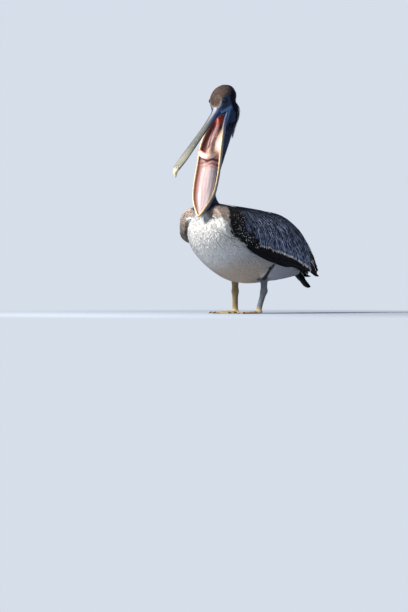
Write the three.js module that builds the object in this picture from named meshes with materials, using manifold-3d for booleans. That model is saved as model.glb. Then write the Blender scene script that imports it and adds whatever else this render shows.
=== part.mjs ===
// Young brown pelican, standing with its bill wide open and its pouch drawn over the neck.
// Millimetres, +Z up. The bird faces -Y and its left side is +X. Every solid is worked out in a
// bird frame whose origin lies on the floor between the feet; the last step moves the group so
// that its own origin is the centre of the foot of its bounding box.
import * as THREE from "three";
import Module from "manifold-3d";

const wasm = await Module();
wasm.setup();

// ---------------------------------------------------------------- driving dimensions
const GAP = 0.4; // clearance between neighbouring pieces
const SIMPLER = 0.19; // how far a facet may be moved when small ones are merged

// Trunk: rings square to an axis that rises towards the breast. Along is measured on that axis from
// its centre, positive towards the breast; low and high are the belly and back lines.
const TRUNK = {
  pitchDeg: 25,
  centreUp: 255,
  squareness: 0.94,
  rings: 18,
  sides: 24,
  stations: [
    { along: -258, low: 6, high: 24, half: 0.5 },
    { along: -238, low: -18, high: 50, half: 30 },
    { along: -186, low: -57, high: 106, half: 66 },
    { along: -110, low: -106, high: 133, half: 92 },
    { along: -40, low: -144, high: 134, half: 103 },
    { along: 30, low: -163, high: 119, half: 108 },
    { along: 110, low: -158, high: 95, half: 110 },
    { along: 175, low: -137, high: 70, half: 107 },
    { along: 218, low: -108, high: 48, half: 90 },
    { along: 242, low: -76, high: 12, half: 56 },
    { along: 252, low: -40, high: -22, half: 0.5 },
  ],
};

// Folded wing: an arched shell over the trunk's side, in the trunk's own axes. Edge is the lower
// edge's height and high the height of its shoulder line beside the back. The right wing hangs a
// little lower at the wrist.
const WING = {
  upperDeg: 76,
  lowerDeg: -14,
  wall: 26,
  wristWall: 52,
  tipWall: 4,
  wrist: { left: { drop: 0, out: 0 }, right: { drop: 26, out: 4 } },
  lean: 40, // how far the wrist's lower end lies behind its upper end
  shoulder: 28, // how far the front edge draws back towards the spine
  flightFrom: -150,
  rings: 20,
  arcs: 9,
  stations: [
    { along: -334, edge: 12, high: 25, half: 17 },
    { along: -302, edge: -1, high: 48, half: 31 },
    { along: -245, edge: -2, high: 88, half: 54 },
    { along: -169, edge: -12, high: 128, half: 86 },
    { along: -110, edge: -26, high: 142, half: 105 },
    { along: -60, edge: -35, high: 146, half: 115 },
    { along: 20, edge: -42, high: 125, half: 121 },
    { along: 95, edge: -45, high: 101, half: 125 },
    { along: 160, edge: -46, high: 84, half: 129 },
    { along: 200, edge: -52, high: 76, half: 131 },
    { along: 236, edge: -53, high: 66, half: 131 },
    { along: 262, edge: -38, high: 52, half: 125 },
    { along: 273, edge: -14, high: 32, half: 116 },
    { along: 277, edge: 4, high: 16, half: 106 },
  ],
};

const TAIL = { root: [0, 190, 172], tip: [0, 263, 94], rootHalf: 24, tipHalf: 22, rootDepth: 26, tipDepth: 4 };

// Neck: round rings on a line that leans back as it rises. Forward and up are in the bird frame.
const NECK = {
  rings: 15,
  sides: 13,
  splitUp: 560,
  stations: [
    { forward: 150, up: 300, radius: 84 },
    { forward: 178, up: 350, radius: 68 },
    { forward: 192, up: 394, radius: 46 },
    { forward: 193, up: 435, radius: 34 },
    { forward: 180, up: 490, radius: 31 },
    { forward: 153, up: 562, radius: 30 },
    { forward: 127, up: 634, radius: 31 },
    { forward: 112, up: 688, radius: 34 },
    { forward: 103, up: 730, radius: 40 },
    { forward: 110, up: 772, radius: 37 },
  ],
};

// Head and upper bill: one long form on axes that start at the middle of the skull. Along runs
// down the bill, and low and high are heights over that line.
const HEAD = {
  origin: [7, -127, 783],
  turnDeg: 16, // to the bird's left of the trunk
  dropDeg: 45, // below level
  billFrom: 57,
  nailFrom: 362,
  sides: 16,
  stations: [
    { along: -62, low: -4, high: 0, half: 0.5 },
    { along: -54, low: -26, high: 17, half: 20 },
    { along: -36, low: -41, high: 34, half: 32 },
    { along: -10, low: -47, high: 46, half: 39.5 },
    { along: 14, low: -47, high: 48, half: 41 },
    { along: 34, low: -44, high: 42, half: 38.5 },
    { along: 48, low: -38, high: 28, half: 31 },
    { along: 58, low: -32, high: 13, half: 25 },
    { along: 72, low: -27, high: 3.5, half: 20 },
    { along: 95, low: -20, high: 1.5, half: 17 },
    { along: 162, low: -13, high: 2, half: 14.5 },
    { along: 251, low: -8, high: 5, half: 17.5 },
    { along: 331, low: -4, high: 8.5, half: 20 },
    { along: 362, low: -4, high: 11, half: 16.5 },
    { along: 382, low: -7, high: 10.5, half: 10 },
    { along: 394, low: -14, high: 5, half: 5.5 },
    { along: 401, low: -17, high: -11, half: 0.5 },
  ],
};
const EYE = { along: 31, up: 14, side: 29, radius: 9 };

// Lower jaw: two rami that spring from the mouth's corners and bow apart. Rise is how far they
// arch forward out of the plane of their ends.
const JAW = {
  origin: [13.4, -146.3, 726.4], // between the corners of the mouth
  dropDeg: 71.4,
  steps: 22,
  sides: 6,
  stations: [
    { along: -12, half: 26, rise: 0, wide: 4.5, deep: 8 },
    { along: 0, half: 27.5, rise: 0, wide: 4.2, deep: 8.5 },
    { along: 44, half: 31, rise: 4, wide: 3.6, deep: 8 },
    { along: 98, half: 43, rise: 11, wide: 3.2, deep: 7 },
    { along: 140, half: 48.5, rise: 11, wide: 3, deep: 6.2 },
    { along: 202, half: 51, rise: 4, wide: 2.8, deep: 5.4 },
    { along: 245, half: 52, rise: 1, wide: 2.8, deep: 5 },
    { along: 287, half: 50, rise: -1, wide: 2.8, deep: 5 },
    { along: 318, half: 44.5, rise: -1, wide: 2.8, deep: 5 },
    { along: 348, half: 32, rise: 0, wide: 3, deep: 5 },
    { along: 372, half: 17.5, rise: 0, wide: 3.4, deep: 5 },
    { along: 389, half: 6, rise: 0, wide: 4, deep: 5 },
    { along: 394, half: 0, rise: 0, wide: 4, deep: 5 },
  ],
};

// Pouch: the skin between the rami, hollowed behind their rims and pressed forward by the neck.
const POUCH = { from: 6, to: 390, valley: 20, hump: 7, back: 28, rings: 14, across: 10, acrossBack: 6 };

// Roll of soft skin that edges the throat: down the left of the mouth, then round below it and out
// past the right ramus. Side and up are offsets from the jaw's middle line.
const ROLL = [
  { along: 26, side: 4, up: -2, radius: 3 },
  { along: 72, side: 13, up: 0, radius: 6 },
  { along: 118, side: 24, up: 3, radius: 11 },
  { along: 158, side: 14, up: 4, radius: 13 },
  { along: 168, side: -14, up: 5, radius: 11.5 },
  { along: 159, side: -38, up: 8, radius: 11 },
  { along: 144, side: -53, up: 10, radius: 8 },
];

const LEG = {
  hipForward: [24, -15], // right, left
  hockForward: [23, -14],
  footForward: [23, 10],
  side: 64,
  hipUp: 165,
  hockUp: 80,
  ankleUp: 13,
  sides: 12,
};
const FOOT = {
  web: 2.6,
  toes: [
    { name: "outer", turnDeg: 19, length: 92, root: 8.5, tip: 4.6, claw: 12 },
    { name: "middle", turnDeg: -4, length: 97, root: 9, tip: 4.8, claw: 13 },
    { name: "inner", turnDeg: -36, length: 71, root: 8, tip: 4.4, claw: 11 },
    { name: "hind", turnDeg: -98, length: 40, root: 6.5, tip: 3.8, claw: 9 },
  ],
};

const COLOURS = {
  crown: 0x5f4a42,
  hindneck: 0x4b4442,
  breast: 0xb9b2a8,
  coverts: 0x3a3838,
  flight: 0x17161a,
  billHorn: 0x9a9c88,
  nail: 0xc9b35c,
  ramus: 0xd9c48a,
  pouch: 0xe0b3a8,
  roll: 0xe8bdb0,
  leg: 0x6f6a58,
  foot: 0xb59a62,
  claw: 0x2a2622,
  eye: 0x1c120c,
};

// ---------------------------------------------------------------- helpers
const radians = THREE.MathUtils.degToRad;

// Value of one key of a station list at a place along it, on a smooth cubic through the stations.
function at(stations, key, place, axis = "along") {
  const last = stations.length - 1;
  const hit = stations.findIndex((s) => s[axis] >= place);
  const i = Math.max(0, (hit < 0 ? last : hit) - 1);
  const [a, b] = [stations[i], stations[Math.min(i + 1, last)]];
  const slope = (k) => {
    const [p, q] = [stations[Math.max(k - 1, 0)], stations[Math.min(k + 1, last)]];
    return (q[key] - p[key]) / (q[axis] - p[axis]);
  };
  const span = b[axis] - a[axis];
  const t = THREE.MathUtils.clamp((place - a[axis]) / span, 0, 1);
  const [t2, t3] = [t * t, t * t * t];
  return (
    (2 * t3 - 3 * t2 + 1) * a[key] +
    (t3 - 2 * t2 + t) * span * slope(i) +
    (3 * t2 - 2 * t3) * b[key] +
    (t3 - t2) * span * slope(i + 1)
  );
}

// Places from first to last, closer together towards both ends so that domed ends stay round.
function spread(first, last, count) {
  return Array.from({ length: count }, (_, i) => {
    const t = i / (count - 1);
    const eased = 0.55 * t + 0.45 * (0.5 - 0.5 * Math.cos(Math.PI * t));
    return first + (last - first) * eased;
  });
}

// Closed surface through rings of points, each ring round the same way, with a fan over each end.
function loft(rings) {
  const n = rings[0].length;
  const points = rings.flat();
  const middle = (ring) => ring.reduce((sum, p) => sum.add(p), new THREE.Vector3()).divideScalar(n);
  points.push(middle(rings[0]), middle(rings.at(-1)));
  const [firstCap, lastCap] = [points.length - 2, points.length - 1];
  const faces = [];
  for (let j = 0; j < n; j++) {
    const k = (j + 1) % n;
    faces.push(firstCap, k, j);
    for (let i = 0; i < rings.length - 1; i++) {
      const [a, b] = [i * n, (i + 1) * n];
      faces.push(a + j, a + k, b + k, a + j, b + k, b + j);
    }
    const end = (rings.length - 1) * n;
    faces.push(lastCap, end + j, end + k);
  }
  const geometry = new THREE.BufferGeometry().setFromPoints(points);
  geometry.setIndex(faces);
  return geometry;
}

// A closed three.js geometry with shared vertices as a solid that can be joined and cut.
function solidOf(geometry) {
  const vertProperties = new Float32Array(geometry.attributes.position.array);
  const triVerts = new Uint32Array(geometry.index.array);
  const made = new wasm.Manifold(new wasm.Mesh({ numProp: 3, vertProperties, triVerts }));
  if (made.volume() > 0) return made;
  for (let i = 0; i < triVerts.length; i += 3) {
    [triVerts[i + 1], triVerts[i + 2]] = [triVerts[i + 2], triVerts[i + 1]];
  }
  return new wasm.Manifold(new wasm.Mesh({ numProp: 3, vertProperties, triVerts }));
}

// A solid back as a named mesh.
function meshOf(name, solid, colour, roughness = 0.8) {
  const { numProp, numVert, vertProperties, triVerts } = solid.getMesh();
  const positions = new Float32Array(numVert * 3);
  for (let i = 0; i < numVert; i++) {
    positions.set(vertProperties.subarray(i * numProp, i * numProp + 3), i * 3);
  }
  const geometry = new THREE.BufferGeometry();
  geometry.setAttribute("position", new THREE.BufferAttribute(positions, 3));
  geometry.setIndex(new THREE.BufferAttribute(triVerts, 1));
  geometry.computeVertexNormals();
  const mesh = new THREE.Mesh(geometry, new THREE.MeshStandardMaterial({ color: colour, roughness }));
  mesh.name = name;
  return mesh;
}

// Merged copy of a three.js primitive as a solid, moved by a matrix.
function primitive(geometry, matrix) {
  const source = geometry.index ? geometry.toNonIndexed() : geometry;
  const found = new Map();
  const points = [];
  const faces = [];
  const p = source.attributes.position;
  for (let i = 0; i < p.count; i++) {
    const v = new THREE.Vector3().fromBufferAttribute(p, i);
    const key = v.toArray().map((x) => Math.round(x * 1e3)).join();
    if (!found.has(key)) {
      found.set(key, points.length);
      points.push(v.applyMatrix4(matrix));
    }
    faces.push(found.get(key));
  }
  const kept = [];
  for (let i = 0; i < faces.length; i += 3) {
    const [a, b, c] = faces.slice(i, i + 3);
    if (a !== b && b !== c && a !== c) kept.push(a, b, c);
  }
  const merged = new THREE.BufferGeometry().setFromPoints(points);
  merged.setIndex(kept);
  return solidOf(merged);
}

// The part of a solid on the far side of a plane, from a point along a direction.
const beyond = (solid, point, direction) =>
  solid.trimByPlane(direction.toArray(), point.dot(direction));

// Cuts a solid in two at a plane, a gap apart: the side ahead and the side behind.
function parted(solid, point, direction) {
  const half = direction.clone().multiplyScalar(GAP / 2);
  const ahead = beyond(solid, point.clone().add(half), direction);
  const behind = beyond(solid, point.clone().sub(half), direction.clone().negate());
  return [ahead, behind];
}

// The largest single body of a solid, without the crumbs that a cut may leave.
const largest = (solid) =>
  solid.decompose().reduce((best, s) => (s.volume() > best.volume() ? s : best));

// ---------------------------------------------------------------- frames
// Axes of the trunk: forward rises towards the breast.
const trunkPitch = radians(TRUNK.pitchDeg);
const trunkAxes = {
  origin: new THREE.Vector3(0, 0, TRUNK.centreUp),
  along: new THREE.Vector3(0, -Math.cos(trunkPitch), Math.sin(trunkPitch)),
  side: new THREE.Vector3(1, 0, 0),
  up: new THREE.Vector3(0, Math.sin(trunkPitch), Math.cos(trunkPitch)),
};

// Axes that point along a bill or jaw: turned to the bird's left and dropped below level.
function pointedAxes(origin, turnDeg, dropDeg) {
  const [turn, drop] = [radians(turnDeg), radians(dropDeg)];
  const heading = new THREE.Vector3(Math.sin(turn), -Math.cos(turn), 0);
  const level = new THREE.Vector3(0, 0, 1);
  return {
    origin: new THREE.Vector3(...origin),
    along: heading.clone().multiplyScalar(Math.cos(drop)).addScaledVector(level, -Math.sin(drop)),
    side: new THREE.Vector3(Math.cos(turn), Math.sin(turn), 0),
    up: heading.clone().multiplyScalar(Math.sin(drop)).addScaledVector(level, Math.cos(drop)),
  };
}
const headAxes = pointedAxes(HEAD.origin, HEAD.turnDeg, HEAD.dropDeg);
const jawAxes = pointedAxes(JAW.origin, HEAD.turnDeg, JAW.dropDeg);

// A point given along, to the side of and above a frame's origin.
const place = (axes, along, side, up) =>
  axes.origin
    .clone()
    .addScaledVector(axes.along, along)
    .addScaledVector(axes.side, side)
    .addScaledVector(axes.up, up);

// ---------------------------------------------------------------- body forms
// Ring of a body whose belly and back lines and half width are given by stations.
function bodyRing(axes, stations, along, sides, squareness, grow) {
  const [low, high, half] = ["low", "high", "half"].map((key) => at(stations, key, along));
  const [middle, tall] = [(low + high) / 2, Math.max((high - low) / 2, 0.5) + grow];
  return Array.from({ length: sides }, (_, j) => {
    const a = (2 * Math.PI * j) / sides;
    const round = (x) => Math.sign(x) * Math.abs(x) ** squareness;
    const side = (Math.max(half, 0.5) + grow) * round(Math.cos(a));
    return place(axes, along, side, middle + tall * round(Math.sin(a)));
  });
}

function trunkForm(grow = 0) {
  const { stations, rings, sides, squareness } = TRUNK;
  const reach = (x) => x + Math.sign(x) * grow;
  return solidOf(
    loft(
      spread(stations[0].along, stations.at(-1).along, rings).map((s, i) => {
        const ring = bodyRing(trunkAxes, stations, s, sides, squareness, grow);
        const ends = i === 0 || i === rings - 1 ? reach(s) - s : 0;
        return ring.map((p) => p.addScaledVector(trunkAxes.along, ends));
      }),
    ),
  );
}

function neckForm(grow = 0) {
  const { stations, rings, sides } = NECK;
  const line = new THREE.CatmullRomCurve3(
    stations.map((s) => new THREE.Vector3(0, -s.forward, s.up)),
  );
  return solidOf(
    loft(
      Array.from({ length: rings }, (_, i) => {
        const t = i / (rings - 1);
        const centre = line.getPoint(t);
        const radius = at(stations, "radius", centre.z, "up") + grow;
        const tangent = line.getTangent(t);
        const side = new THREE.Vector3(1, 0, 0);
        const front = new THREE.Vector3().crossVectors(tangent, side).normalize();
        return Array.from({ length: sides }, (_, j) => {
          const a = (2 * Math.PI * j) / sides;
          return centre
            .clone()
            .addScaledVector(side, radius * Math.cos(a))
            .addScaledVector(front, radius * Math.sin(a));
        });
      }),
    ),
  );
}

// Head and upper bill in one, to be parted at the feather edge and at the nail.
function headForm(grow = 0) {
  const { stations, sides } = HEAD;
  const dome = spread(stations[0].along, HEAD.billFrom + 20, 13);
  const bill = spread(HEAD.billFrom + 20, stations.at(-1).along, 12).slice(1);
  return solidOf(
    loft([...dome, ...bill].map((s) => bodyRing(headAxes, stations, s, sides, 0.96, grow))),
  );
}

function eyeForm(sideSign, grow = 0) {
  const centre = place(headAxes, EYE.along, sideSign * EYE.side, EYE.up);
  return primitive(
    new THREE.SphereGeometry(EYE.radius + grow, 10, 7),
    new THREE.Matrix4().setPosition(centre),
  );
}

// One ramus of the lower jaw: an upright blade that runs from behind the mouth's corner to the tip.
function ramusForm(sideSign, grow = 0) {
  const { stations, steps, sides } = JAW;
  const middle = (s) => place(jawAxes, s, sideSign * at(stations, "half", s), at(stations, "rise", s));
  const stops = spread(stations[0].along, stations.at(-1).along, steps);
  const rings = stops.map((s, i) => {
    const [before, after] = [stops[Math.max(i - 1, 0)], stops[Math.min(i + 1, steps - 1)]];
    const run = middle(after).sub(middle(before)).normalize();
    const across = new THREE.Vector3().crossVectors(run, jawAxes.up).normalize();
    const [wide, deep] = [at(stations, "wide", s) + grow, at(stations, "deep", s) + grow];
    return Array.from({ length: sides }, (_, j) => {
      const a = (2 * Math.PI * (j + 0.5)) / sides;
      return middle(s)
        .addScaledVector(across, wide * Math.cos(a))
        .addScaledVector(jawAxes.up, deep * Math.sin(a) - deep * 0.5);
    });
  });
  return solidOf(loft(rings));
}

// Pouch between the rims: hollow beside each ramus, swollen over the neck, rounded behind.
function pouchForm(grow = 0) {
  const { from, to, valley, hump, back, rings, across, acrossBack } = POUCH;
  const ringAt = (s) => {
    const half = Math.max(at(JAW.stations, "half", s) - 0.5, 1.5);
    const rise = at(JAW.stations, "rise", s);
    const ease = Math.min(1, half / 30);
    const front = (u) => {
      const hollow = -valley * (1 - u ** 4) + hump * Math.exp(-((u / 0.5) ** 2));
      return rise - 3.5 + ease * hollow + grow;
    };
    const behind = (u) => rise - 7 - ease * back * Math.sqrt(Math.max(0, 1 - u * u)) - grow;
    const span = (count) => Array.from({ length: count + 1 }, (_, i) => -1 + (2 * i) / count);
    const out = half + grow;
    return [
      ...span(across).map((u) => place(jawAxes, s, out * u, front(u))),
      ...span(acrossBack).reverse().map((u) => place(jawAxes, s, out * u, behind(u))),
    ];
  };
  return solidOf(loft(spread(from - grow, to + grow, rings).map(ringAt)));
}

// The roll round the throat.
function rollForm(grow = 0) {
  const line = new THREE.CatmullRomCurve3(
    ROLL.map((r) => place(jawAxes, r.along, r.side, r.up + at(JAW.stations, "rise", r.along))),
  );
  const marks = ROLL.map((r, i) => ({ along: i / (ROLL.length - 1), radius: r.radius }));
  return solidOf(
    loft(
      spread(0, 1, 15).map((t) => {
        const ends = Math.sqrt(Math.max(0.03, 1 - Math.max(0, (t - 0.9) / 0.1, (0.1 - t) / 0.1) ** 2));
        const radius = at(marks, "radius", t) * ends + grow;
        const across = new THREE.Vector3().crossVectors(line.getTangent(t), jawAxes.up).normalize();
        return Array.from({ length: 8 }, (_, j) => {
          const a = (2 * Math.PI * j) / 8;
          return line
            .getPoint(t)
            .addScaledVector(across, radius * Math.cos(a))
            .addScaledVector(jawAxes.up, radius * 0.8 * Math.sin(a));
        });
      }),
    ),
  );
}

// Folded wing on one side: an arch from the shoulder line beside the back to the lower edge.
function wingForm(sideSign) {
  const { stations, rings, arcs, upperDeg, lowerDeg, wall, wristWall, tipWall } = WING;
  const wrist = WING.wrist[sideSign > 0 ? "left" : "right"];
  const rows = spread(stations[0].along, stations.at(-1).along, rings).map((s) => {
    const fold = THREE.MathUtils.smoothstep(s, 90, 215);
    const free = THREE.MathUtils.smoothstep(s, -250, -120);
    const edge = at(stations, "edge", s) - wrist.drop * fold;
    const high = at(stations, "high", s);
    const half = at(stations, "half", s) + wrist.out * fold;
    const middle = edge + (high - edge) * 0.28;
    const rise = (high - middle) / Math.sin(radians(upperDeg));
    const fall = (middle - edge) / Math.sin(radians(-lowerDeg));
    const full = tipWall + (wall - tipWall) * free + (wristWall - wall) * fold;
    const thick = Math.min(full, half * 0.45);
    const arc = (inset) =>
      Array.from({ length: arcs + 1 }, (_, i) => {
        const a = radians(upperDeg + ((lowerDeg - upperDeg) * i) / arcs);
        const lip = Math.sin((Math.PI * (i + 0.6)) / (arcs + 1.2)) ** 0.35;
        const tall = (a > 0 ? rise : fall) - (a > 0 ? inset * lip : 0);
        const side = (half - inset * lip) * Math.cos(a);
        const up = middle + tall * Math.sin(a);
        const below = (high - up) / (high - edge);
        const inward = Math.max(0, Math.sin(a)) ** 3;
        const back = fold * (WING.lean * below + WING.shoulder * inward);
        return place(trunkAxes, s - back, sideSign * side, up);
      });
    return [...arc(0), ...arc(thick).toReversed()];
  });
  return solidOf(loft(rows));
}

// Tail: a flat wedge of stiff feathers that widens to its end.
function tailForm(grow = 0) {
  const [root, tip] = [new THREE.Vector3(...TAIL.root), new THREE.Vector3(...TAIL.tip)];
  const run = tip.clone().sub(root).normalize();
  const side = new THREE.Vector3(1, 0, 0);
  const up = new THREE.Vector3().crossVectors(side, run).normalize().negate();
  const rings = spread(0, 1, 8).map((t) => {
    const half = THREE.MathUtils.lerp(TAIL.rootHalf, TAIL.tipHalf, Math.sin((Math.PI / 2) * t)) + grow;
    const round = t > 0.8 ? 1 - 0.35 * ((t - 0.8) / 0.2) ** 2 : 1;
    const deep = THREE.MathUtils.lerp(TAIL.rootDepth, TAIL.tipDepth, t) / 2 + grow;
    const centre = root.clone().lerp(tip, t);
    return Array.from({ length: 12 }, (_, j) => {
      const a = (2 * Math.PI * j) / 12;
      return centre
        .clone()
        .addScaledVector(side, half * round * Math.cos(a))
        .addScaledVector(up, deep * Math.sin(a) - 6 * Math.cos(a) ** 2 * t);
    });
  });
  return solidOf(loft(rings));
}

// ---------------------------------------------------------------- legs and feet
// Round-section limb through joints given as {point, wide, deep}.
function limb(joints, sides, steps = 14) {
  const line = new THREE.CatmullRomCurve3(joints.map((j) => j.point));
  const marks = joints.map((j, i) => ({ along: i / (joints.length - 1), wide: j.wide, deep: j.deep }));
  return solidOf(
    loft(
      Array.from({ length: steps }, (_, i) => {
        const t = i / (steps - 1);
        const [wide, deep] = [at(marks, "wide", t), at(marks, "deep", t)];
        const centre = line.getPoint(t);
        return Array.from({ length: sides }, (_, j) => {
          const a = (2 * Math.PI * j) / sides;
          return centre.clone().add(new THREE.Vector3(wide * Math.cos(a), deep * Math.sin(a), 0));
        });
      }),
    ),
  );
}

function legForm(sideSign) {
  const k = sideSign > 0 ? 1 : 0;
  const spot = (forward, up) => new THREE.Vector3(sideSign * LEG.side, -forward, up);
  const mix = (a, b, t) => a + (b - a) * t;
  const [hip, hock, foot] = [LEG.hipForward[k], LEG.hockForward[k], LEG.footForward[k]];
  return limb(
    [
      { point: spot(hip, LEG.hipUp), wide: 24, deep: 26 },
      { point: spot(mix(hip, hock, 0.5), mix(LEG.hipUp, LEG.hockUp, 0.5)), wide: 14.5, deep: 16 },
      { point: spot(mix(hip, hock, 0.8), mix(LEG.hipUp, LEG.hockUp, 0.8)), wide: 12, deep: 13 },
      { point: spot(hock, LEG.hockUp), wide: 12.5, deep: 14 },
      { point: spot(mix(hock, foot, 0.3), mix(LEG.hockUp, LEG.ankleUp, 0.3)), wide: 9.5, deep: 12 },
      { point: spot(mix(hock, foot, 0.75), mix(LEG.hockUp, LEG.ankleUp, 0.75)), wide: 9, deep: 11.5 },
      { point: spot(foot, LEG.ankleUp - 6), wide: 11, deep: 12 },
    ],
    LEG.sides,
    14,
  );
}

// Direction of a toe on the floor: turn 0 points ahead and positive turns outwards.
const toeRun = (sideSign, turnDeg) =>
  new THREE.Vector3(sideSign * Math.sin(radians(turnDeg)), -Math.cos(radians(turnDeg)), 0);

function toeForm(sideSign, toe, base) {
  const run = toeRun(sideSign, toe.turnDeg);
  const across = new THREE.Vector3(-run.y, run.x, 0);
  const rings = spread(-0.04, 1, 6).map((t) => {
    const round = Math.sqrt(Math.max(0.02, 1 - Math.max(0, (t - 0.9) / 0.1) ** 2));
    const wide = THREE.MathUtils.lerp(toe.root, toe.tip, Math.sqrt(Math.max(t, 0))) * round;
    const centre = base.clone().addScaledVector(run, toe.length * t);
    return Array.from({ length: 7 }, (_, j) => {
      const a = (2 * Math.PI * j) / 7;
      const up = Math.sin(a) > 0 ? wide * 1.25 * Math.sin(a) : wide * 0.5 * Math.sin(a);
      return centre
        .clone()
        .addScaledVector(across, wide * Math.cos(a))
        .add(new THREE.Vector3(0, 0, up + wide * 0.35));
    });
  });
  return solidOf(loft(rings));
}

// Foot: four toes joined by one web, with a flat sole on the floor.
function footForm(sideSign) {
  const base = new THREE.Vector3(sideSign * LEG.side, -LEG.footForward[sideSign > 0 ? 1 : 0], 0);
  const ends = FOOT.toes.map((toe) =>
    base.clone().addScaledVector(toeRun(sideSign, toe.turnDeg), toe.length * 0.96),
  );
  const web = new THREE.Shape();
  web.moveTo(base.x, base.y + 8);
  web.lineTo(ends[0].x, ends[0].y);
  ends.slice(1).forEach((end, i) => {
    const bay = ends[i].clone().lerp(end, 0.5).lerp(base, 0.13);
    web.quadraticCurveTo(bay.x, bay.y, end.x, end.y);
  });
  web.closePath();
  const skin = primitive(
    new THREE.ExtrudeGeometry(web, { depth: FOOT.web, bevelEnabled: false, curveSegments: 4 }),
    new THREE.Matrix4(),
  );
  const knuckle = primitive(
    new THREE.SphereGeometry(14, 12, 6),
    new THREE.Matrix4().compose(
      base.clone().setZ(5),
      new THREE.Quaternion(),
      new THREE.Vector3(1, 1.05, 0.75),
    ),
  );
  const whole = FOOT.toes.reduce((sum, toe) => sum.add(toeForm(sideSign, toe, base)), skin.add(knuckle));
  return [base, whole.trimByPlane([0, 0, 1], 0)];
}

// Claw: a small hooked cone that carries a toe on, clear of the floor.
function clawForm(sideSign, toe, base) {
  const run = toeRun(sideSign, toe.turnDeg);
  const across = new THREE.Vector3(-run.y, run.x, 0);
  const start = base.clone().addScaledVector(run, toe.length + GAP + 0.1);
  const rings = [0, 0.25, 0.5, 0.75, 1].map((t) => {
    const thick = toe.tip * 0.55 * (1 - 0.86 * t);
    const centre = start
      .clone()
      .addScaledVector(run, toe.claw * Math.sin(t * 1.25))
      .setZ(4.6 - 3.4 * t * t);
    return Array.from({ length: 6 }, (_, j) => {
      const a = (2 * Math.PI * j) / 6;
      return centre
        .clone()
        .addScaledVector(across, thick * Math.cos(a))
        .add(new THREE.Vector3(0, 0, thick * Math.sin(a)));
    });
  });
  return solidOf(loft(rings));
}

// ---------------------------------------------------------------- the bird, piece by piece
const pelican = new THREE.Group();
const add = (name, solid, colour, roughness) =>
  pelican.add(meshOf(name, largest(solid).simplify(SIMPLER), colour, roughness));

const trunk = trunkForm();
const trunkGrown = trunkForm(GAP);
const neckGrown = neckForm(GAP);
const [jawsLeft, jawsRight] = [ramusForm(1, GAP), ramusForm(-1, GAP)];
const jawsGrown = jawsLeft.add(jawsRight);

// Head, eyes and upper bill.
const skull = headForm();
const [billWhole, cranium] = parted(skull, place(headAxes, HEAD.billFrom, 0, 0), headAxes.along);
const [nail, bill] = parted(billWhole, place(headAxes, HEAD.nailFrom, 0, 0), headAxes.along);
const eyesGrown = eyeForm(1, GAP).add(eyeForm(-1, GAP));
add("head", cranium.subtract(eyesGrown), COLOURS.crown);
add("eye_left", eyeForm(1), COLOURS.eye, 0.1);
add("eye_right", eyeForm(-1), COLOURS.eye, 0.1);
add("bill_upper", bill, COLOURS.billHorn, 0.5);
add("bill_nail", nail, COLOURS.nail, 0.4);

// Lower jaw, parted at its middle, and the pouch and its roll hung between the rami.
const middle = new THREE.Vector3(...JAW.origin);
const headGrown = headForm(GAP);
const clear = (solid, ...others) => others.reduce((left, other) => left.subtract(other), solid);
const [rollGrown, pouchGrown] = [rollForm(GAP), pouchForm(GAP)];
const rami = [parted(ramusForm(1), middle, jawAxes.side)[0], parted(ramusForm(-1), middle, jawAxes.side)[1]];
add("jaw_left", clear(rami[0], headGrown), COLOURS.ramus, 0.5);
add("jaw_right", clear(rami[1], headGrown), COLOURS.ramus, 0.5);
add("throat_roll", clear(rollForm(), headGrown, jawsGrown), COLOURS.roll, 0.5);
add("pouch", clear(pouchForm(), jawsGrown, headGrown, rollGrown, trunkGrown), COLOURS.pouch, 0.5);

// Neck in two lengths, and the trunk.
const neck = clear(neckForm(), trunkGrown, headGrown, jawsGrown, rollGrown, pouchGrown);
const neckSplit = new THREE.Vector3(0, 0, NECK.splitUp);
const [neckUpper, neckLower] = parted(neck, neckSplit, new THREE.Vector3(0, 0.35, 0.94).normalize());
add("neck_upper", neckUpper, COLOURS.hindneck);
add("neck_lower", neckLower, COLOURS.hindneck);

// Tail, legs and wings, each cut back from the trunk.
const tailGrown = tailForm(GAP);
add("tail", tailForm().subtract(trunkGrown), COLOURS.flight);
add("trunk", trunk, COLOURS.breast);
for (const [side, sign] of [["left", 1], ["right", -1]]) {
  const wing = clear(wingForm(sign), trunkGrown, tailGrown, neckGrown, pouchGrown, jawsGrown);
  const [arm, flight] = parted(wing, place(trunkAxes, WING.flightFrom, 0, 0), trunkAxes.along);
  add(`wing_${side}_coverts`, arm, COLOURS.coverts);
  add(`wing_${side}_flight`, flight, COLOURS.flight);

  const [base, foot] = footForm(sign);
  const leg = legForm(sign).subtract(trunkGrown);
  const up = new THREE.Vector3(0, 0, 1);
  const [tibia, shank] = parted(leg, new THREE.Vector3(0, 0, LEG.hockUp + 6), up);
  add(`shin_${side}`, tibia, COLOURS.leg, 0.6);
  add(`tarsus_${side}`, beyond(shank, new THREE.Vector3(0, 0, LEG.ankleUp + GAP), up), COLOURS.leg, 0.6);
  add(`foot_${side}`, beyond(foot, new THREE.Vector3(0, 0, LEG.ankleUp), up.clone().negate()), COLOURS.foot, 0.6);
  for (const toe of FOOT.toes) add(`claw_${side}_${toe.name}`, clawForm(sign, toe, base), COLOURS.claw, 0.4);
}

// Origin: the centre of the foot of the bounding box.
const box = new THREE.Box3().setFromObject(pelican);
const centre = box.getCenter(new THREE.Vector3());
pelican.position.set(-centre.x, -centre.y, -box.min.z);

export default pelican;
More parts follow.
